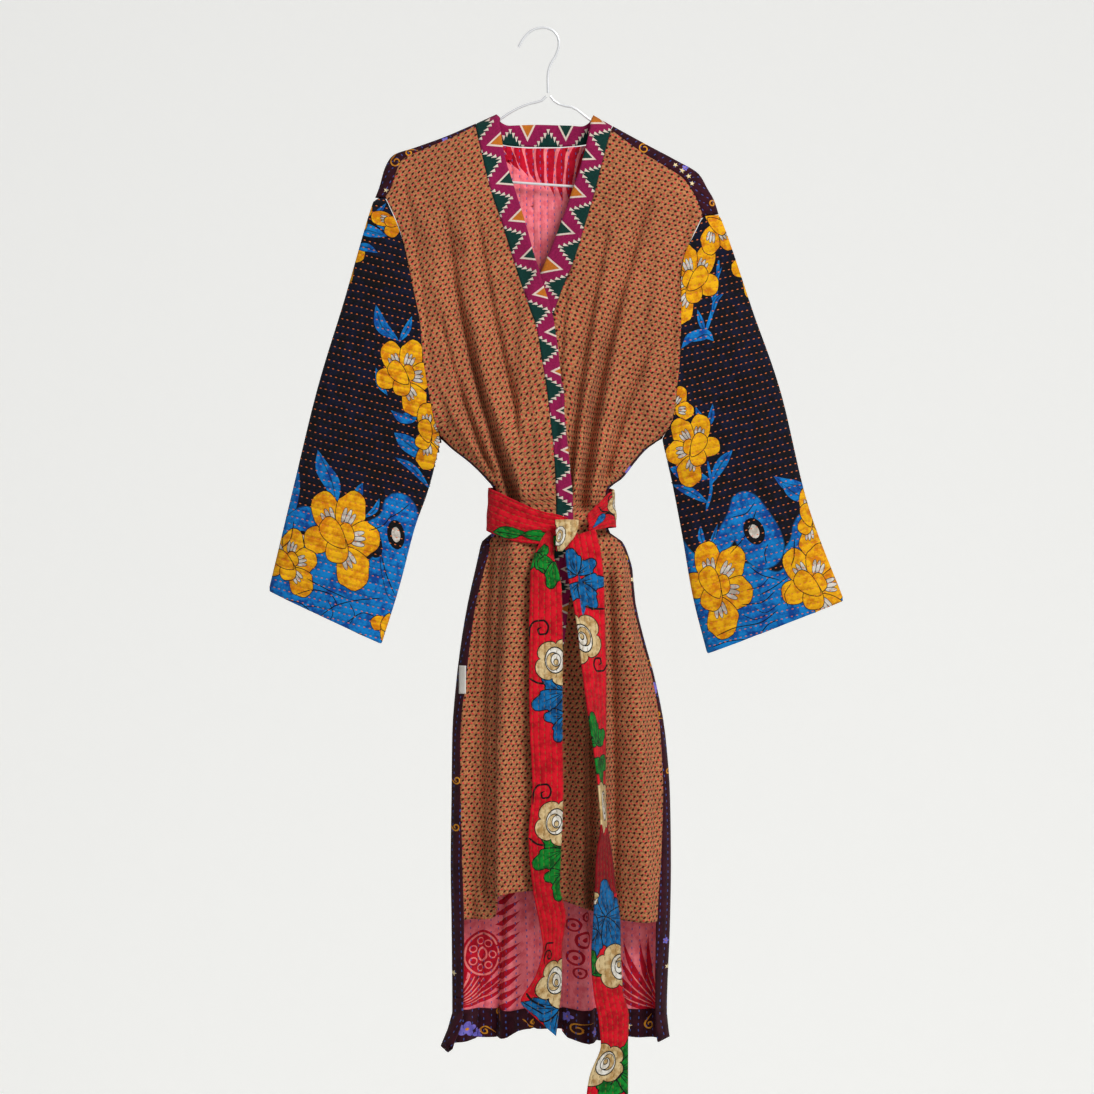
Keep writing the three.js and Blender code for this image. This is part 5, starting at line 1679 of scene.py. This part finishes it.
def make_tail(side, material):
    rows = TAILS[side]
    middle = 0.5 * (rows["leftZ"] + rows["rightZ"])
    outline = rectangle(np.linspace(0, TAIL_WIDTH, 11), np.linspace(middle[0], middle[-1], 150))
    shapes = drawn(TAIL_PRINTS[side])
    chart, triangles = triangulate(outline, field_points(outline, 4.0), (), [s for _, s in shapes])
    mirror = [(c, s * (-1, 1) + (TAIL_WIDTH, 18)) for c, s in shapes]
    paint = [painted(chart, triangles, shown, "red") for shown in (shapes, mirror)]
    return make_piece(f"belt_end_{side}", material, tail_point(rows, chart),
                      triangles, chart, BELT_CLOTH, 0.0, paint)


def belt_point(turn, share):
    """Points of the belt's outer face: turn in degrees round the waist, share down its width."""
    angle = np.radians(turn)
    across, out = (np.sign(v) * np.abs(v) ** (2 / RING["power"])
                   for v in (np.cos(angle), np.sin(angle)))
    push = 1 + curve(BELT_LOOP, "turn", turn, "push") / RING["halfDepth"]
    middle = curve(BELT_LOOP, "turn", turn, "z")
    half = curve(BELT_LOOP, "turn", turn, "halfWidth")
    x = RING["x"] + RING["halfWidth"] * (1 + RING["flare"] * share) * across
    y = RING["y"] + RING["halfDepth"] * push * out
    return np.stack([x, y, middle + half * (1 - 2 * share)], 1)


def make_belt_loop(material):
    turns = np.linspace(BELT_LOOP["turn"][0], BELT_LOOP["turn"][-1], 340)
    middle = belt_point(turns, np.full(340, 0.5))
    along = np.concatenate([[0], np.cumsum(np.linalg.norm(np.diff(middle, axis=0), axis=1))])
    length = along[-1]
    outline = rectangle(np.linspace(0, length, 120), 0 - np.linspace(0, LOOP_WIDTH, 13))
    shapes = loop_prints(length)
    chart, triangles = triangulate(outline, field_points(outline, 3.6), (), [s for _, s in shapes])
    turn = np.interp(chart[:, 0], along, turns)
    surface = belt_point(turn, -chart[:, 1] / LOOP_WIDTH)
    angle = np.radians(turn)
    outward = np.stack([np.cos(angle), np.sin(angle), np.zeros(len(turn))], 1)
    surface += outward * loop_creases(chart, length)[:, None]
    triangles = triangles[:, ::-1]
    paint = [painted(chart, triangles, shown, "red") for shown in (shapes, [])]
    return make_piece("belt_loop", material, surface, triangles, chart[:, ::-1],
                      BELT_CLOTH, 0.0, paint)


def loop_creases(chart, length):
    """Long creases of the belt, which all run into the knot."""
    p, q = chart[:, 0], -chart[:, 1] / LOOP_WIDTH
    near_start = np.clip(1 - p / 120, 0, 1)
    near_end = np.clip(1 - (length - p) / 90, 0, 1)
    waves = 1.3 * np.sin(2 * np.pi * (1.6 * q + 0.15)) * (0.25 + near_start + near_end)
    ridge = 2.2 * np.exp(-(((q - 0.45 - 0.1 * near_start) / 0.07) ** 2)) * smooth(near_start * 2)
    return (waves + ridge) * np.sin(np.pi * np.clip(q, 0.02, 0.98)) + 0.4 * puckers(p, 40 * q, 7.0)


def loop_prints(length):
    """Printed shapes at places (along, across) on the belt, from its start under the knot."""
    made = inked("green", lobed(30, -44, 176, 30, 20, 3), 0.9)
    made += inked("green", lobed(56, -40, 172, 30, 18, 4), 0.9)
    made += inked("green", blade([(96, -48), (76, -42), (52, -36)], 13), 0.9)
    made += ink([(90, -46), (70, -42), (40, -40)], 1.0)
    made += curl(length - 40, -14, 12, 150, 2.4)
    made += ink([(length - 46, -36), (length - 32, -28), (length - 16, -24)], 2.6)
    made += inked("leaf_blue", petal(length - 6, -42, 140, 26, 15), 1.0)
    for start, colour in ((170, "green"), (270, "leaf_blue")):
        made += trefoil(start, -30, 30, 200, colour) + blossom(start + 40, -18, 44, 30)
        made += curl(start - 40, -20, 9, 40)
    return made


KNOT_PETALS = rounded([
    (14, -599), (28, -594), (42, -597), (44, -612), (36, -628), (20, -640), (16, -632), (17, -616),
])
KNOT_CURLS = [
    (7.4, 12.6, "black"), (6.6, 11.6, "white"), (4.2, 8.0, "black"), (3.6, 7.2, "cream"),
    (2.2, 4.8, "black"), (1.7, 4.0, "white"),
]


def make_knot(material):
    u, v, triangles = grid_chart(np.linspace(0, 1, 41), np.linspace(0, 1, 90))
    x = lerp(row_at(KNOT, v, "left"), row_at(KNOT, v, "right"), u)
    pleat = 0.7 * np.sin(2 * np.pi * (2.3 * u + 0.2)) * np.sin(np.pi * v)
    y = row_at(KNOT, v, "y") - 1.5 * np.sin(np.pi * u) - pleat
    flat = np.stack([x, row_at(KNOT, v, "z")], 1)
    shapes = [("black", grown(KNOT_PETALS, 1.0)), ("cream", KNOT_PETALS)]
    shapes += [(colour, oval(18.5, -619, rx, ry, -14)) for rx, ry, colour in KNOT_CURLS]
    paint = [painted(flat, triangles, shown, "red") for shown in (shapes, [])]
    return make_piece("belt_knot", material, np.insert(flat, 1, y, axis=1),
                      triangles, flat, BELT_CLOTH, 0.0, paint)


def make_label(material):
    u, v, triangles = grid_chart(np.linspace(0, 1, 7), np.linspace(0, 1, 20))
    x, z = lerp(LABEL["left"], LABEL["right"], u), lerp(LABEL["top"], LABEL["foot"], v)
    flat = np.stack([x, z], 1)
    y = -half_depth(z, "front", inset_at(flat)) - LABEL_LIFT
    return make_piece("label", material, np.insert(flat, 1, y, axis=1), triangles,
                      flat, LABEL_CLOTH)


# ------------------------------------------------------------------ making the pieces

tan = tan_material()
sleeve_look = sleeve_material()
belt_look = stitched_material("belt_cloth", (7.2, 7.0, 3.8, 0.8, 0.35), 110.0, 0.7, (120, 96, 44), 0.7)
plum_look = stitched_material("plum_cloth", (8.6, 7.8, 2.9, 0.95, 0.4), 95.0, 0.85, (66, 92, 168), 0.6)
ORANGE_PATCH, GREEN_PATCH = (216, 122, 34), (14, 62, 54)
band_looks = {
    "left": band_material("band_left", -0.313, (GREEN_PATCH, ORANGE_PATCH), 47.95),
    "right": band_material("band_right", 0.05, (ORANGE_PATCH, GREEN_PATCH)),
    "back": band_material("band_back", 0.43, (ORANGE_PATCH, GREEN_PATCH), 47.0,
                          BACK_BAND_WIDTH),
}

for side in ("left", "right"):
    make_front(side, tan)
    make_neckband(side, band_looks[side])
    make_sleeve(side, sleeve_look)
    make_tail(side, belt_look)
make_back_band(band_looks["back"])
make_back(plum_look)
make_facing(plum_look)
make_belt_loop(belt_look)
make_knot(belt_look)
make_label(label_material())

wire = wire_material()
for name in ("hanger_hook", "hanger_left", "hanger_right", "hanger_bar"):
    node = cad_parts[name]
    node.data.materials.clear()
    node.data.materials.append(wire)

# ------------------------------------------------------------------ stage, light and camera

# The wall stands so far back that the views from behind have the camera in front of it.
WALL_Y = 4.8
FLOOR_Z = -3.0


def stage_plane(name, corners, material):
    mesh = bpy.data.meshes.new(name)
    mesh.from_pydata(corners, [], [(0, 1, 2, 3)])
    mesh.materials.append(material)
    plane = bpy.data.objects.new(name, mesh)
    bpy.context.scene.collection.objects.link(plane)


def plaster(name, colour, glow):
    """A matt pale surface. glow is the light that it gives by itself."""
    return Nodes(name, cloth=False).finish(
        Base_Color=colour, Roughness=0.9, Specular_IOR_Level=0.2, Emission_Color=colour,
        Emission_Strength=glow)


STAGE_SIDE, STAGE_NEAR, STAGE_TOP = 7, -7, 5
WALL_COLOUR, WALL_GLOW = srgb(226, 226, 224), 0.54
FLOOR_COLOUR, FLOOR_GLOW = srgb(236, 236, 234), 0.3
foot = [(-STAGE_SIDE, WALL_Y, FLOOR_Z), (STAGE_SIDE, WALL_Y, FLOOR_Z)]
stage_plane("wall", [*foot, (STAGE_SIDE, WALL_Y, STAGE_TOP), (-STAGE_SIDE, WALL_Y, STAGE_TOP)],
            plaster("wall_plaster", WALL_COLOUR, WALL_GLOW))
stage_plane("floor", [(-STAGE_SIDE, STAGE_NEAR, FLOOR_Z), (STAGE_SIDE, STAGE_NEAR, FLOOR_Z),
                      *foot[::-1]],
            plaster("floor_plaster", FLOOR_COLOUR, FLOOR_GLOW))


def area_light(name, place, aim, size, power):
    light = bpy.data.lights.new(name, "AREA")
    light.shape = "SQUARE"
    light.size = size
    light.energy = power
    lamp = bpy.data.objects.new(name, light)
    bpy.context.scene.collection.objects.link(lamp)
    lamp.location = place
    lamp.rotation_mode = "QUATERNION"
    lamp.rotation_quaternion = (Vector(aim) - Vector(place)).to_track_quat("-Z", "Y")


# The key light comes from above on the right, and the fill light from in front.
area_light("key", (1.7, -2.9, 1.8), (0.0, 0.0, -0.62), 1.5, 150)
area_light("fill", (0.4, -3.6, -0.6), (0.0, 0.0, -0.7), 2.2, 14)

ROOM_GLOW = 0.2
world = bpy.data.worlds.new("room")
world.use_nodes = True
background = world.node_tree.nodes["Background"].inputs
background["Color"].default_value = (1, 1, 1, 1)
background["Strength"].default_value = ROOM_GLOW
bpy.context.scene.world = world
bpy.context.scene.view_settings.view_transform = "Standard"

# The frame is 1.3347 m wide at the hanger's plane, straight on.
VIEW_WIDTH = 1.3347
VIEW_CENTRE = (0.00366, -0.632)
LENS, SENSOR = 85.0, 36.0
camera_data = bpy.data.cameras.new("camera")
camera_data.lens = LENS
camera_data.sensor_width = SENSOR
camera = bpy.data.objects.new("camera", camera_data)
bpy.context.scene.collection.objects.link(camera)
camera.location = (VIEW_CENTRE[0], -VIEW_WIDTH * LENS / SENSOR, VIEW_CENTRE[1])
camera.rotation_euler = (np.pi / 2, 0, 0)
bpy.context.scene.camera = camera
